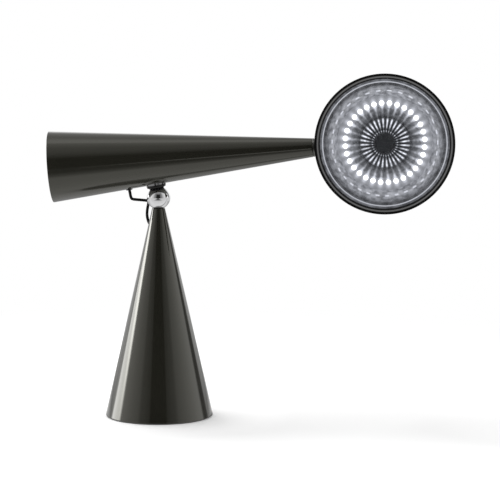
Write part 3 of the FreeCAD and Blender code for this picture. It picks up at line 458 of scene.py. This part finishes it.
# %% Clear front
clear_front = plain_finish("clear_front", (0.08, 0.09, 0.1), (0.1, 0.11, 0.12), (0.0, 0.02), bump=0.0)
shader_of(clear_front).inputs["Alpha"].default_value = 0.06

# %% [markdown]
# ## Helpers for pieces
# Nearly everything on this lamp is turned, so the main helper is a lathe. It starts with a ring of
# points, then draws it out and resizes it from point to point of the outline, as by hand with extrude
# and scale. A closed outline meets itself and is welded. An open one gets flat ends, so a solid disc
# starts and ends at a small radius and its middle is filled. A bevel then rounds the corners. Beside
# each corner of a long run the lathe leaves a holding edge, so that the smooth shading bends only at
# the corner and the rest of the cone mirrors like a true cone.


# %% Selecting and outlines
def select_only(piece):
    """Makes one piece the only one that the next operator acts on."""
    bpy.ops.object.select_all(action="DESELECT")
    piece.select_set(True)
    bpy.context.view_layer.objects.active = piece


def closed(outline):
    """An outline that comes back to its first point."""
    return outline + outline[:1]


def flat_section(inner, outer, low, high):
    """Four corners of a flat disc or ring, cut through."""
    return [(inner, low), (outer, low), (outer, high), (inner, high)]


def with_holding_edges(outline, reach=0.0009):
    """Adds a point a little way from each end of every long run."""
    points = [outline[0]]
    for here, following in zip(outline, outline[1:]):
        run = math.dist(here, following)
        for share in (reach / run, 1 - reach / run) if run > 4 * reach else ():
            points.append(tuple(a + (b - a) * share for a, b in zip(here, following)))
        points.append(following)
    return points


# %% The lathe
weld_distance = 0.000001
fine_sides = 256  # for the widest pieces


def lathe(name, corners, sides=192):
    """Turns (radius, height) points about Z."""
    bpy.ops.object.select_all(action="DESELECT")
    outline = with_holding_edges(corners)
    radius, height = outline[0]
    bpy.ops.mesh.primitive_circle_add(vertices=sides, radius=radius, location=(0, 0, height))
    piece = bpy.context.object
    piece.name = name
    bpy.ops.object.transform_apply(location=True, rotation=True, scale=True)
    bpy.ops.object.mode_set(mode="EDIT")
    for here, following in zip(outline, outline[1:]):
        rise = following[1] - here[1]
        growth = following[0] / here[0]
        bpy.ops.mesh.extrude_region_move(TRANSFORM_OT_translate={"value": (0, 0, rise)})
        bpy.ops.transform.resize(value=(growth, growth, 1), center_override=(0, 0, 0))
    bpy.ops.mesh.select_all(action="SELECT")
    bpy.ops.mesh.remove_doubles(threshold=weld_distance)
    bpy.ops.mesh.fill_holes(sides=0)
    bpy.ops.mesh.select_all(action="SELECT")
    bpy.ops.mesh.normals_make_consistent(inside=False)
    bpy.ops.object.mode_set(mode="OBJECT")
    return piece


# %% Rounding, placing and dressing
def round_corners(piece, width, segments=3, sharper_than=20):
    """Rounds every corner sharper than an angle, then shades the piece smooth."""
    select_only(piece)
    bevel = piece.modifiers.new("corners", "BEVEL")
    bevel.width = width
    bevel.segments = segments
    bevel.limit_method = "ANGLE"
    bevel.angle_limit = math.radians(sharper_than)
    bpy.ops.object.modifier_apply(modifier=bevel.name)
    bpy.ops.object.shade_smooth_by_angle(angle=math.radians(40))
    print(piece.name, "rounded:", len(piece.data.polygons), "faces")


def put(piece, place):
    """Lays a piece in its place and leaves its object at the origin."""
    select_only(piece)
    piece.matrix_world = place @ piece.matrix_world
    bpy.ops.object.transform_apply(location=True, rotation=True, scale=True)


def dress(piece, material, body, slot, *nodes):
    """Gives a piece its finish and its body, and hides the CAD nodes that it stands for. The slot is not used."""
    piece.data.materials.clear()
    piece.data.materials.append(material)
    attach(piece, body)
    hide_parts(*nodes)


# %% [markdown]
# ## The base cone
# The base is a spun sheet cone. Its foot stands a millimetre off the table on a soft disc, and its
# neck is hollowed like a shallow dish, so that the ball sits down in it with a hairline gap.

# %% Base cone
foot_radius = 0.0599
neck_radius = 0.007
base_height = 0.2333
shell_lift = 0.001
sheet = 0.002
level_sheet = 1.02 * sheet  # the wall leans, so it is thicker when measured level
ball_radius = 0.013
ball_gap = 0.0003
taper = (foot_radius - neck_radius) / base_height


def on_base(height):
    """The base's outside radius at a height."""
    return foot_radius - taper * height


def under_ball(radius):
    """The height of the dish under the ball at a radius."""
    return ball_centre.z - math.sqrt((ball_radius + ball_gap) ** 2 - radius**2)


neck_top = under_ball(neck_radius)
dish_radius = on_base(neck_top) - level_sheet
outline = [
    (on_base(shell_lift), shell_lift),
    (on_base(neck_top), neck_top),
    (dish_radius, under_ball(dish_radius)),
    (on_base(shell_lift) - level_sheet, shell_lift),
]
base_cone = lathe("base_cone", closed(outline), fine_sides)
round_corners(base_cone, 0.0005)
dress(base_cone, paint, "base", "shell_paint", "base_shell")

# %% [markdown]
# ## The arm cone
# The arm is the same kind of cone, laid level, with its wide end open a little way down to a set-in
# end cap. Its thin end is turned flat against the swivel ring.

# %% Arm cone
arm_back = -0.11909
arm_front = 0.1710
arm_big_radius = 0.0394
arm_tip_radius = 0.01033
arm_sheet = 0.0015
arm_taper = (arm_big_radius - arm_tip_radius) / (arm_front - arm_back)


def on_arm(station):
    """The arm's outside radius at a station along it."""
    return arm_tip_radius + arm_taper * (arm_front - station)


outline = [
    (on_arm(arm_back), arm_back),
    (on_arm(arm_front), arm_front),
    (on_arm(arm_front) - arm_sheet, arm_front),
    (on_arm(arm_back) - arm_sheet, arm_back),
]
arm_cone = lathe("arm_cone", closed(outline), fine_sides)
round_corners(arm_cone, 0.0004)
put(arm_cone, along_arm)
dress(arm_cone, paint, "arm", "arm_paint", "arm_shell")

# %% [markdown]
# The end cap is a disc with a shallow dish, held by three countersunk screws. It is set in from the
# arm's edge and just fits inside the sheet.

# %% Arm end cap
cap_back = arm_back + 0.002
cap_radius = on_arm(cap_back) - arm_sheet - 0.0001
cap_dish = cap_back + 0.001
cap_front = cap_back + 0.003
outline = [
    (0.004, cap_dish),
    (0.029, cap_dish),
    (0.030, cap_back),
    (cap_radius, cap_back),
    (cap_radius - 0.0003, cap_front),
    (0.004, cap_front),
]
end_cap = lathe("end_cap", outline)
round_corners(end_cap, 0.0003)
put(end_cap, along_arm)
dress(end_cap, paint, "arm", "arm_paint", "arm_end_cap")

# %% [markdown]
# ## Ball, cup and swivel ring
# The ball is a bearing ball with a small flat under it. It is a mirror, so its shape must be smooth: it
# has many sides, and its flat is cut off with bisect.

# %% Ball
flat_drop = 0.012  # from the ball's middle down to its flat
bpy.ops.object.select_all(action="DESELECT")
bpy.ops.mesh.primitive_uv_sphere_add(segments=128, ring_count=64, radius=ball_radius, location=ball_centre)
ball = bpy.context.object
ball.name = "ball"
bpy.ops.object.transform_apply(location=True, rotation=True, scale=True)
bpy.ops.object.mode_set(mode="EDIT")
bpy.ops.mesh.select_all(action="SELECT")
flat = ball_centre - Vector((0, 0, flat_drop))
bpy.ops.mesh.bisect(plane_co=flat, plane_no=(0, 0, 1), use_fill=True, clear_inner=True)
bpy.ops.object.mode_set(mode="OBJECT")
bpy.ops.object.shade_smooth_by_angle(angle=math.radians(12))
dress(ball, chrome, "ball", "chrome", "pivot_ball")
print("ball:", len(ball.data.polygons), "faces")

# %% [markdown]
# The cup sits on the ball and hides the magnet that holds the arm. It stands square to the arm's
# underside, so its frame leans by the cone's half angle. Inside it follows a sphere a little larger
# than the ball, with a bore up to the magnet.

# %% Cup
cup_tilt = Matrix.Rotation(-math.atan(arm_taper), 4, "Y")
cup_frame = Matrix.Translation(ball_centre) @ arm_tilt @ cup_tilt
cup_room = 0.0139  # radius of the hollow that holds the ball and its liner
cup_radius = 0.0109
cup_top = 0.0186
rim_height = 0.0118
magnet_bore = 0.0072


def on_hollow(radius):
    """The height of the hollow's wall at a radius, or its radius at a height."""
    return math.sqrt(cup_room**2 - radius**2)


outline = [
    (on_hollow(rim_height), rim_height),
    (0.0103, rim_height),
    (cup_radius, 0.0138),
    (cup_radius, cup_top),
    (magnet_bore, cup_top),
    (magnet_bore, on_hollow(magnet_bore)),
    (0.0083, on_hollow(0.0083)),
]
cup = lathe("cup", closed(outline))
round_corners(cup, 0.0002)
put(cup, cup_frame)

# %% [markdown]
# The cup's metal is darker than the ball's, and painted shade makes the lower part of its side nearly
# black. Its finish is a copy of the dark chrome with that band of painted shade laid over it, by height in the
# cup's own frame.

# %% The cup's finish
shade_full = 0.0144
shade_ends = 0.0154
cup_finish = dark_chrome.copy()
cup_finish.name = "cup_chrome"
tree = cup_finish.node_tree
shader = shader_of(cup_finish)
upward = parts_of(tree, in_frame(tree, cup_frame))["Z"]
# painted shade: the lower side of the cup turns nearly black
painted_shade_band = step_between(tree, upward, shade_full, shade_ends, 1.0, 0.0)
plated = shader.inputs["Base Color"].links[0].from_socket
tree.links.new(mixed(tree, painted_shade_band, plated, (0.02, 0.02, 0.02, 1)), shader.inputs["Base Color"])
dress(cup, cup_finish, "arm", "chrome", "socket_cup")
print("cup's finish:", len(tree.nodes), "nodes")

# %% [markdown]
# The swivel ring is a narrow band of dark satin metal between arm and head. It continues the arm's
# cone, with a fine slope at each edge that shows the joint.

# %% Swivel ring
ring_width = 0.0026
ring_step = 0.0005
ring_hole = 0.006
ring_end = arm_front + ring_width
outline = [
    (ring_hole, arm_front),
    (on_arm(arm_front) - ring_step, arm_front),
    (on_arm(arm_front), arm_front + ring_step),
    (on_arm(ring_end), ring_end - ring_step),
    (on_arm(ring_end) - ring_step, ring_end),
    (ring_hole, ring_end),
]
swivel_ring = lathe("swivel_band", closed(outline))
round_corners(swivel_ring, 0.0001, 2)
put(swivel_ring, along_arm)
dress(swivel_ring, dark_satin, "arm", "satin_metal", "swivel_ring")

# %% [markdown]
# ## The head's shell
# The third cone, seen from its open end. A straight band stands behind the rim, the closed end is
# rounded, and a short stub, in line with the arm, joins the head to the swivel.

# %% Head shell
rim = 0.045  # above the arm's axis, in the head's own frame
head_radius = 0.07647
head_sheet = 0.0015
band_width = 0.010
head_length = 0.125
back_radius = 0.011
head_back = rim - head_length
inside_radius = head_radius - head_sheet
outline = [
    (0.001, head_back),
    (back_radius - 0.0035, head_back),
    (back_radius - 0.0012, head_back + 0.0007),
    (back_radius + 0.0008, head_back + 0.0025),
    (back_radius + 0.0028, head_back + 0.0052),
    (head_radius, rim - band_width),
    (head_radius, rim),
    (inside_radius, rim),
    (inside_radius, rim - band_width),
    (back_radius + 0.0012, head_back + 0.0055),
    (0.001, head_back + 0.002),
]
head_shell = lathe("head_shell", closed(outline), fine_sides)
round_corners(head_shell, 0.0005)
put(head_shell, head_frame)
dress(head_shell, head_paint, "head", "arm_paint", "head_housing")

# %% Head stub
stub_start = ring_end + 0.0001
stub_end = head_station - 0.046
outline = [
    (ring_hole, stub_start),
    (on_arm(stub_start), stub_start),
    (on_arm(stub_end), stub_end),
    (0.003, stub_end),
]
stub = lathe("head_stub", outline)
round_corners(stub, 0.0003)
put(stub, along_arm)
dress(stub, paint, "head", "arm_paint", "head_housing")

# %% [markdown]
# ## Rings at the head's rim
# From the outside in: the black ring that holds the glass, the glass, a rubber gasket behind it, and a
# bright rounded trim on the reflector's flange. Each is turned about the head's axis. The glass and
# the gasket are a little smaller than the shell's inside.

# %% Front ring
ring_front = rim - 0.0004
ring_back = rim - 0.0034
ring_inside = 0.0709
outline = [
    (ring_inside, ring_back),
    (inside_radius, ring_back),
    (inside_radius, ring_front),
    (ring_inside, ring_front - 0.0011),
]
front_ring = lathe("front_ring", closed(outline), fine_sides)
round_corners(front_ring, 0.0004)
put(front_ring, head_frame)
dress(front_ring, ring_finish, "head", "black_metal", "bezel_ring")

# %% Glass and gasket
seat_radius = inside_radius - 0.0003
glass_front = ring_back - 0.0001
glass_back = glass_front - 0.0025
glass = lathe("front_glass", flat_section(0.004, seat_radius, glass_back, glass_front))
round_corners(glass, 0.0003, 2)
put(glass, head_frame)
dress(glass, clear_front, "head", "clear_glass", "lens")

gasket_back = glass_back - 0.0015
outline = flat_section(0.0704, seat_radius, gasket_back, glass_back)
gasket = lathe("glass_gasket", closed(outline), fine_sides)
round_corners(gasket, 0.0002, 2)
put(gasket, head_frame)
dress(gasket, gasket_rubber, "head", "black_rubber", "lens_gasket")

# %% Bright trim
trim_middle = 0.0676
trim_half = 0.0007
trim_front = gasket_back + 0.0012
outline = flat_section(trim_middle - trim_half, trim_middle + trim_half, gasket_back, trim_front)
trim = lathe("bright_trim", closed(outline), fine_sides)
round_corners(trim, 0.0005, 4)
put(trim, head_frame)
dress(trim, trim_finish, "head", "chrome", "trim_ring")

# %% [markdown]
# ## Reflectors
# The outer reflector is a thin cone from the board up to the flange. The mirror in the middle is the
# lamp's most careful part: a low skirt and a steep cone, both with thirty-two flutes. It is turned with
# two sides to each flute, and every second line of points is then drawn in towards the axis.

# %% Outer reflector
board_height = 0.012  # the board's face, above the arm's axis in the head's own frame
reflector_foot = 0.0518
reflector_mouth = 0.0640
reflector_sheet = 0.0013
flange_back = gasket_back - 0.0012
outline = [
    (reflector_foot, board_height),
    (reflector_mouth, gasket_back),
    (seat_radius, gasket_back),
    (seat_radius, flange_back),
    (reflector_mouth + 0.0006, flange_back),
    (reflector_foot + reflector_sheet, board_height),
]
reflector = lathe("outer_mirror", closed(outline), fine_sides)
round_corners(reflector, 0.0003, 2)
put(reflector, head_frame)
dress(reflector, reflector_mirror, "head", "reflector_metal", "outer_reflector")

# %% Fluted mirror
skirt_radius = 0.0400
brow_radius = 0.0276
cone_top_radius = 0.0118
cone_top = board_height + 0.0191
flute_ratio = 0.955
outline = [
    (skirt_radius, board_height),
    (0.034, board_height + 0.0013),
    (brow_radius, board_height + 0.0026),
    (0.0205, board_height + 0.0101),
    (cone_top_radius, cone_top),
]
fluted = lathe("fluted_mirror", outline, sides=2 * light_count)
pitch = math.pi / light_count
for point in fluted.data.vertices:
    line = round(math.atan2(point.co.y, point.co.x) / pitch)
    point.select = line % 2 == 0
for part in [*fluted.data.polygons, *fluted.data.edges]:
    part.select = False
select_only(fluted)
bpy.ops.object.mode_set(mode="EDIT")
bpy.context.tool_settings.mesh_select_mode = (True, False, False)
bpy.ops.transform.resize(value=(flute_ratio, flute_ratio, 1), center_override=(0, 0, 0))
bpy.ops.object.mode_set(mode="OBJECT")
put(fluted, front_frame)
dress(fluted, cone_mirror, "head", "reflector_metal", "centre_reflector")
print("fluted mirror:", len(fluted.data.polygons), "faces")

# %% [markdown]
# A dark flat cap covers the screw in the middle, on top of the fluted cone.

# %% Dark cap
dark_disc = lathe("dark_disc", flat_section(0.003, 0.01127, cone_top, cone_top + 0.0015))
round_corners(dark_disc, 0.0005)
put(dark_disc, head_frame)
dress(dark_disc, cap_finish, "head", "dark_cap", "centre_cap")

# %% [markdown]
# ## The lights
# Each light is a small round dome. One is modelled, from a low cylinder whose edges are rounded over,
# and the other thirty-one are copies of it with their own meshes, turned about the head's axis.

# %% Lights
light_ring_radius = 0.04355
light_radius = 0.0029
light_height = 0.0014
bpy.ops.object.select_all(action="DESELECT")
bpy.ops.mesh.primitive_cylinder_add(
    vertices=28,
    radius=light_radius,
    depth=light_height,
    location=(light_ring_radius, 0, board_height + light_height / 2),
)
first_light = bpy.context.object
first_light.name = "light_00"
bpy.ops.object.transform_apply(location=True, rotation=True, scale=True)
round_corners(first_light, 0.0006, 3, 60)
lights = [first_light]
for number in range(1, light_count):
    copy = bpy.data.objects.new(f"light_{number:02d}", first_light.data.copy())
    bpy.context.scene.collection.objects.link(copy)
    lights.append(copy)
for number, light in enumerate(lights):
    around = Matrix.Rotation(front_turn + number * math.tau / light_count, 4, "Z")
    put(light, head_frame @ around)
    dress(light, light_finish, "head", "light", "leds")
print("lights:", len(lights))

# %% [markdown]
# ## The short cable
# A stiff black cable leaves the arm's underside, turns level, passes behind the ball and goes down into
# the neck. It crosses three hinges, so it is cut into three lengths that meet end to end. The route is
# a smooth curve led by listed points, closer together
# where the real cable turns sharply.

# %% Cable route and tube
cable_radius = 0.0016
route = [
    (-0.0336, 0.0, 0.2606),
    (-0.0316, 0.0, 0.2495),
    (-0.0306, 0.0, 0.2440),
    (-0.0290, 0.0008, 0.2422),
    (-0.0240, 0.0036, 0.2414),
    (-0.0150, 0.0087, 0.2401),
    (-0.0118, 0.0105, 0.2392),
    (-0.0120, 0.0105, 0.2365),
    (-0.0134, 0.0103, 0.2300),
    (-0.0140, 0.0120, 0.2225),
    (-0.0122, 0.0150, 0.2140),
    (-0.0088, 0.0160, 0.2100),
    (-0.0060, 0.0123, 0.2098),
    (-0.0036, 0.0074, 0.2100),
]
curve = bpy.data.curves.new("cable_line", "CURVE")
curve.dimensions = "3D"
spline = curve.splines.new("NURBS")
spline.points.add(len(route) - 1)
for point, corner in zip(spline.points, route):
    point.co = (*corner, 1)
spline.order_u = 3
spline.use_endpoint_u = True
curve.bevel_depth = cable_radius
curve.bevel_resolution = 5
curve.resolution_u = 16
curve.use_fill_caps = True
cable_line = bpy.data.objects.new("cable_line", curve)
bpy.context.scene.collection.objects.link(cable_line)
print("cable's line:", round(spline.calc_length() * 1000, 1), "mm")

# %% Cut the tube into three lengths
low_cut = 0.2265
high_cut = 0.2360


def cable_length(name, cuts):
    """A copy of the tube, without what lies over or under each level cut."""
    select_only(cable_line)
    bpy.ops.object.duplicate()
    bpy.ops.object.convert(target="MESH")
    piece = bpy.context.object
    piece.name = name
    bpy.ops.object.mode_set(mode="EDIT")
    for height, side in cuts:
        bpy.ops.mesh.select_all(action="SELECT")
        bpy.ops.mesh.bisect(
            plane_co=(0, 0, height),
            plane_no=(0, 0, 1),
            use_fill=True,
            clear_outer=side == "over",
            clear_inner=side == "under",
        )
    bpy.ops.object.mode_set(mode="OBJECT")
    bpy.ops.object.shade_smooth_by_angle(angle=math.radians(50))
    piece.data.materials.clear()
    piece.data.materials.append(jacket)
    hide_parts("jumper_cable")
    print(piece.name, len(piece.data.polygons), "faces")
    return piece


cable_low = cable_length("cable_low", [(low_cut, "over")])
cable_middle = cable_length("cable_middle", [(high_cut, "over"), (low_cut, "under")])
cable_high = cable_length("cable_high", [(high_cut, "under")])
bpy.data.objects.remove(cable_line)
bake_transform(cable_low)
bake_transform(cable_middle)
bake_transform(cable_high)

# %% [markdown]
# ## Small fittings
# The gland for the mains cord, the push button and its surround, the two cable grommets, the soft disc
# under the foot and the end cap's screws keep their CAD shapes. A welded, smooth-shaded copy stands in
# for each, so that their round faces look round.


# %% Smooth copies
def smooth_copy(node, material, body, slot):
    """A welded, smooth-shaded copy of a CAD node stands in its place."""
    source = frame["nodes"][node]
    piece = bpy.data.objects.new(node + "_smooth", source.data.copy())
    bpy.context.scene.collection.objects.link(piece)
    select_only(piece)
    bpy.ops.object.mode_set(mode="EDIT")
    bpy.ops.mesh.select_all(action="SELECT")
    bpy.ops.mesh.remove_doubles(threshold=weld_distance)
    bpy.ops.object.mode_set(mode="OBJECT")
    bpy.ops.object.shade_smooth_by_angle(angle=math.radians(35))
    dress(piece, material, body, slot, node)
    print(piece.name, "welded:", len(piece.data.vertices), "points")


# %% Fittings as smooth copies
smooth_copy("cord_gland", black_plastic, "base", "black_plastic")
smooth_copy("switch_housing", black_metal, "base", "black_metal")
smooth_copy("switch_button", satin_metal, "button", "satin_metal")
smooth_copy("lower_cable_grommet", rubber, "base", "black_rubber")
smooth_copy("upper_cable_grommet", rubber, "arm", "black_rubber")
smooth_copy("foot_pad", rubber, "base", "black_rubber")
smooth_copy("end_cap_screws", zinc_steel, "arm", "steel")

# %% [markdown]
# ## Every other CAD node
# What is left lies inside the cones. Each node still gets the finish of its material slot, because a
# part that is opened, or seen in a cut, should look right too.

# %% Finishes for the carried-over nodes
finish_of_slot = {
    "shell_paint": paint,
    "arm_paint": paint,
    "chrome": chrome,
    "satin_metal": satin_metal,
    "black_metal": black_metal,
    "black_rubber": rubber,
    "cable_jacket": jacket,
    "black_plastic": black_plastic,
    "pale_plastic": pale_plastic,
    "steel": zinc_steel,
    "iron": cast_iron,
    "brass": brass,
    "clear_glass": clear_front,
    "reflector_metal": reflector_mirror,
    "board": board_finish,
    "light": light_finish,
    "dark_cap": cap_finish,
    "sink_metal": satin_metal,
}
for entry in frame["record"]["subparts"]:
    node = frame["nodes"][entry["node"]]
    finish = finish_of_slot[entry["material_slot"]]
    if not node.data.materials:
        node.data.materials.append(finish)
    for slot in node.material_slots:
        slot.material = finish

# %% [markdown]
# ## The studio
# A glossy surface needs something to reflect, so the world shows mirrors a plain studio: dark where
# the camera stands, paler towards the sides and behind, with light overhead, one bright strip at the
# left and a darker post at the right behind the lamp. The camera sees white, and all other light from
# the world is an even white fill.

# %% Where a ray of the world points
world = bpy.data.worlds.new("studio")
bpy.context.scene.world = world
world.use_nodes = True
tree = world.node_tree
direction = add_node(tree, "ShaderNodeTexCoord").outputs["Generated"]
parts = parts_of(tree, direction)
to_front = times(tree, parts["Y"], -1.0)
heading = times(tree, sum_of(tree, "ARCTAN2", parts["X"], to_front), math.degrees(1))
up = times(tree, sum_of(tree, "ARCSINE", parts["Z"]), math.degrees(1))

# %% [markdown]
# A heading is an angle in degrees from straight in front of the lamp, positive to the right. The walls
# depend on it alone, and the light overhead on the height alone. Whichever is brighter shows, dimmed
# high up behind the lamp.

# %% Walls and light overhead
camera_heading = 2.0
sideways = sum_of(tree, "DIVIDE", gap_from(tree, heading, camera_heading), 180.0)
raised = sum_of(tree, "DIVIDE", sum_of(tree, "ADD", up, 90.0), 180.0)
front_walls = [(0.0, 0.006), (0.098, 0.008), (0.112, 0.12), (0.17, 0.2), (0.22, 0.26)]
back_walls = [(0.26, 0.46), (0.34, 0.6), (0.42, 0.76), (0.53, 0.92), (0.7, 0.85)]
below = [(0.0, 0.8), (0.30, 0.8), (0.40, 0.02), (0.67, 0.01)]
above = [(0.75, 0.2), (0.80, 0.28), (0.88, 0.34), (0.96, 0.52), (1.0, 0.68)]
walls = ramp(tree, sideways, front_walls + back_walls)
overhead = ramp(tree, raised, below + above)
pale = mixed(tree, 1.0, walls, overhead, "LIGHTEN")
pale_grey = add_node(tree, "ShaderNodeRGBToBW", inputs={"Color": pale}).outputs[0]
behind = step_between(tree, parts["Y"], 0.1, 0.5)
high_behind = times(tree, behind, step_between(tree, up, 18.0, 34.0, 0.0, 0.5))
pale_level = times(tree, pale_grey, sum_of(tree, "MULTIPLY_ADD", high_behind, -1.5, 1.5))

# %% Bright strip and dark post
strip_heading = -104.7
post_heading = 124.5
strip_side = step_between(tree, gap_from(tree, heading, strip_heading), 18.0, 10.0)
strip_high = step_between(tree, up, 60.0, 40.0)
strip_level = step_between(tree, up, 5.2, 7.6, 4.8, 11.4)
strip = times(tree, times(tree, strip_side, strip_high), strip_level)
post = step_between(tree, gap_from(tree, heading, post_heading), 6.0, 14.0, 0.15, 1.0)
seen_by_mirrors = sum_of(tree, "ADD", times(tree, pale_level, post), strip)

# %% What each kind of ray sees
fill_level = 0.62
path = add_node(tree, "ShaderNodeLightPath").outputs
choices = {0: path["Is Glossy Ray"], 2: fill_level, 3: seen_by_mirrors}
level = add_node(tree, "ShaderNodeMix", {"data_type": "FLOAT"}, choices).outputs[0]
seen_through = sum_of(tree, "MAXIMUM", path["Is Camera Ray"], path["Is Transmission Ray"])
choices = {0: seen_through, 2: level, 3: 1.0}
level = add_node(tree, "ShaderNodeMix", {"data_type": "FLOAT"}, choices).outputs[0]
background = tree.nodes["Background"]
background.inputs["Color"].default_value = (1, 1, 1, 1)
tree.links.new(level, background.inputs["Strength"])
print("world:", len(tree.nodes), "nodes")

# %% [markdown]
# ## The floor
# The camera sees white paper with the lamp's soft shadow on it. The paper is lit for real near the
# lamp, with a little glow of its own that keeps the shadow faint, and turns plain white further out.
# A shiny surface sees a floor of set brightness instead: dimmer towards the camera and behind the
# lamp, bright far out at the sides, and shaded in a strip under the arm.


# %% Helpers for the floor
def glowing(tree, strength):
    """A surface that only glows."""
    return add_node(tree, "ShaderNodeEmission", inputs={"Strength": strength}).outputs[0]


def either(tree, factor, first, second):
    """The first surface, or the second where the factor is 1."""
    return add_node(tree, "ShaderNodeMixShader", inputs={0: factor, 1: first, 2: second}).outputs[0]


# %% Floor and its paper
bpy.ops.object.select_all(action="DESELECT")
bpy.ops.mesh.primitive_plane_add(size=12.0, location=(0, 0, 0))
floor = bpy.context.object
floor.name = "floor"
floor_finish = bpy.data.materials.new("floor_paper")
floor_finish.use_nodes = True
tree = floor_finish.node_tree
tree.nodes.remove(tree.nodes["Principled BSDF"])
place = add_node(tree, "ShaderNodeTexCoord").outputs["Object"]
parts = parts_of(tree, place)
distance = length_of(tree, place)
path = add_node(tree, "ShaderNodeLightPath").outputs
paper = add_node(tree, "ShaderNodeBsdfDiffuse", inputs={"Color": (0.92, 0.92, 0.92, 1)}).outputs[0]
in_front = step_between(tree, parts["Y"], -0.06, -0.24, 0.1, 0.3)
at_left = step_between(tree, parts["X"], -0.02, -0.1, 0.0, 0.3)
at_right = step_between(tree, parts["X"], 0.2, 0.4, 0.0, 0.2)
close_by = step_between(tree, distance, 0.1, 0.22, 0.17, 0.0)
at_sides = sum_of(tree, "MAXIMUM", at_left, at_right)
lightened = sum_of(tree, "MAXIMUM", sum_of(tree, "MAXIMUM", in_front, at_sides), close_by)
lifted = glowing(tree, times(tree, path["Is Camera Ray"], lightened))
paper = add_node(tree, "ShaderNodeAddShader", inputs={0: paper, 1: lifted}).outputs[0]

# %% The floor in mirrors
front_edge = -1.2
back_edge = 0.4
inputs = {"Value": parts["Y"], "From Min": front_edge, "From Max": back_edge}
floor_depth = add_node(tree, "ShaderNodeMapRange", inputs=inputs).outputs[0]
near_camera = [(0.0, 0.1), (0.13, 0.14), (0.3, 0.3), (0.38, 0.42), (0.47, 0.8), (0.6, 0.86)]
by_lamp = [(0.7, 0.95), (0.78, 0.95), (0.82, 0.86), (0.88, 0.7), (0.95, 0.55), (1.0, 0.5)]
front_to_back = ramp(tree, floor_depth, near_camera + by_lamp)
front_level = add_node(tree, "ShaderNodeRGBToBW", inputs={"Color": front_to_back}).outputs[0]
beside = step_between(tree, gap_from(tree, parts["X"]), 0.25, 0.6, 0.0, 0.8)
spread_level = sum_of(tree, "MAXIMUM", front_level, beside)
along = step_between(tree, parts["X"], -0.1, -0.02, 0.0, 0.55)
under_arm = step_between(tree, gap_from(tree, parts["Y"]), 0.012, 0.055, 1.0, 0.0)
out_of_shade = sum_of(tree, "SUBTRACT", 1.0, times(tree, along, under_arm))
mirrored = glowing(tree, times(tree, spread_level, times(tree, out_of_shade, 1.1)))

# %% What each kind of ray sees of the floor
white = glowing(tree, 1.0)
far = step_between(tree, distance, 0.42, 0.75)
shown = either(tree, times(tree, far, path["Is Camera Ray"]), paper, white)
shown = either(tree, path["Is Glossy Ray"], shown, mirrored)
shown = either(tree, path["Is Transmission Ray"], shown, white)
tree.links.new(shown, tree.nodes["Material Output"].inputs["Surface"])
floor.data.materials.append(floor_finish)
print("floor's finish:", len(tree.nodes), "nodes")

# %% [markdown]
# One large soft lamp overhead gives the lamp its form and the floor its shadow. It looks at the middle
# of the object, and no mirror shows it, because the world already holds what mirrors see.

# %% Soft lamp overhead
lamp_data = bpy.data.lights.new("overhead", "AREA")
lamp_data.size = 1.0
lamp_data.energy = 14.0
lamp = bpy.data.objects.new("overhead", lamp_data)
bpy.context.scene.collection.objects.link(lamp)
lamp.location = (-0.5, 0.35, 1.3)
aim = Vector((0.08, 0, 0.15)) - lamp.location
lamp.rotation_euler = aim.to_track_quat("-Z", "Y").to_euler()
lamp.visible_glossy = False
print("soft lamp", round(aim.length, 2), "m from the object's middle")
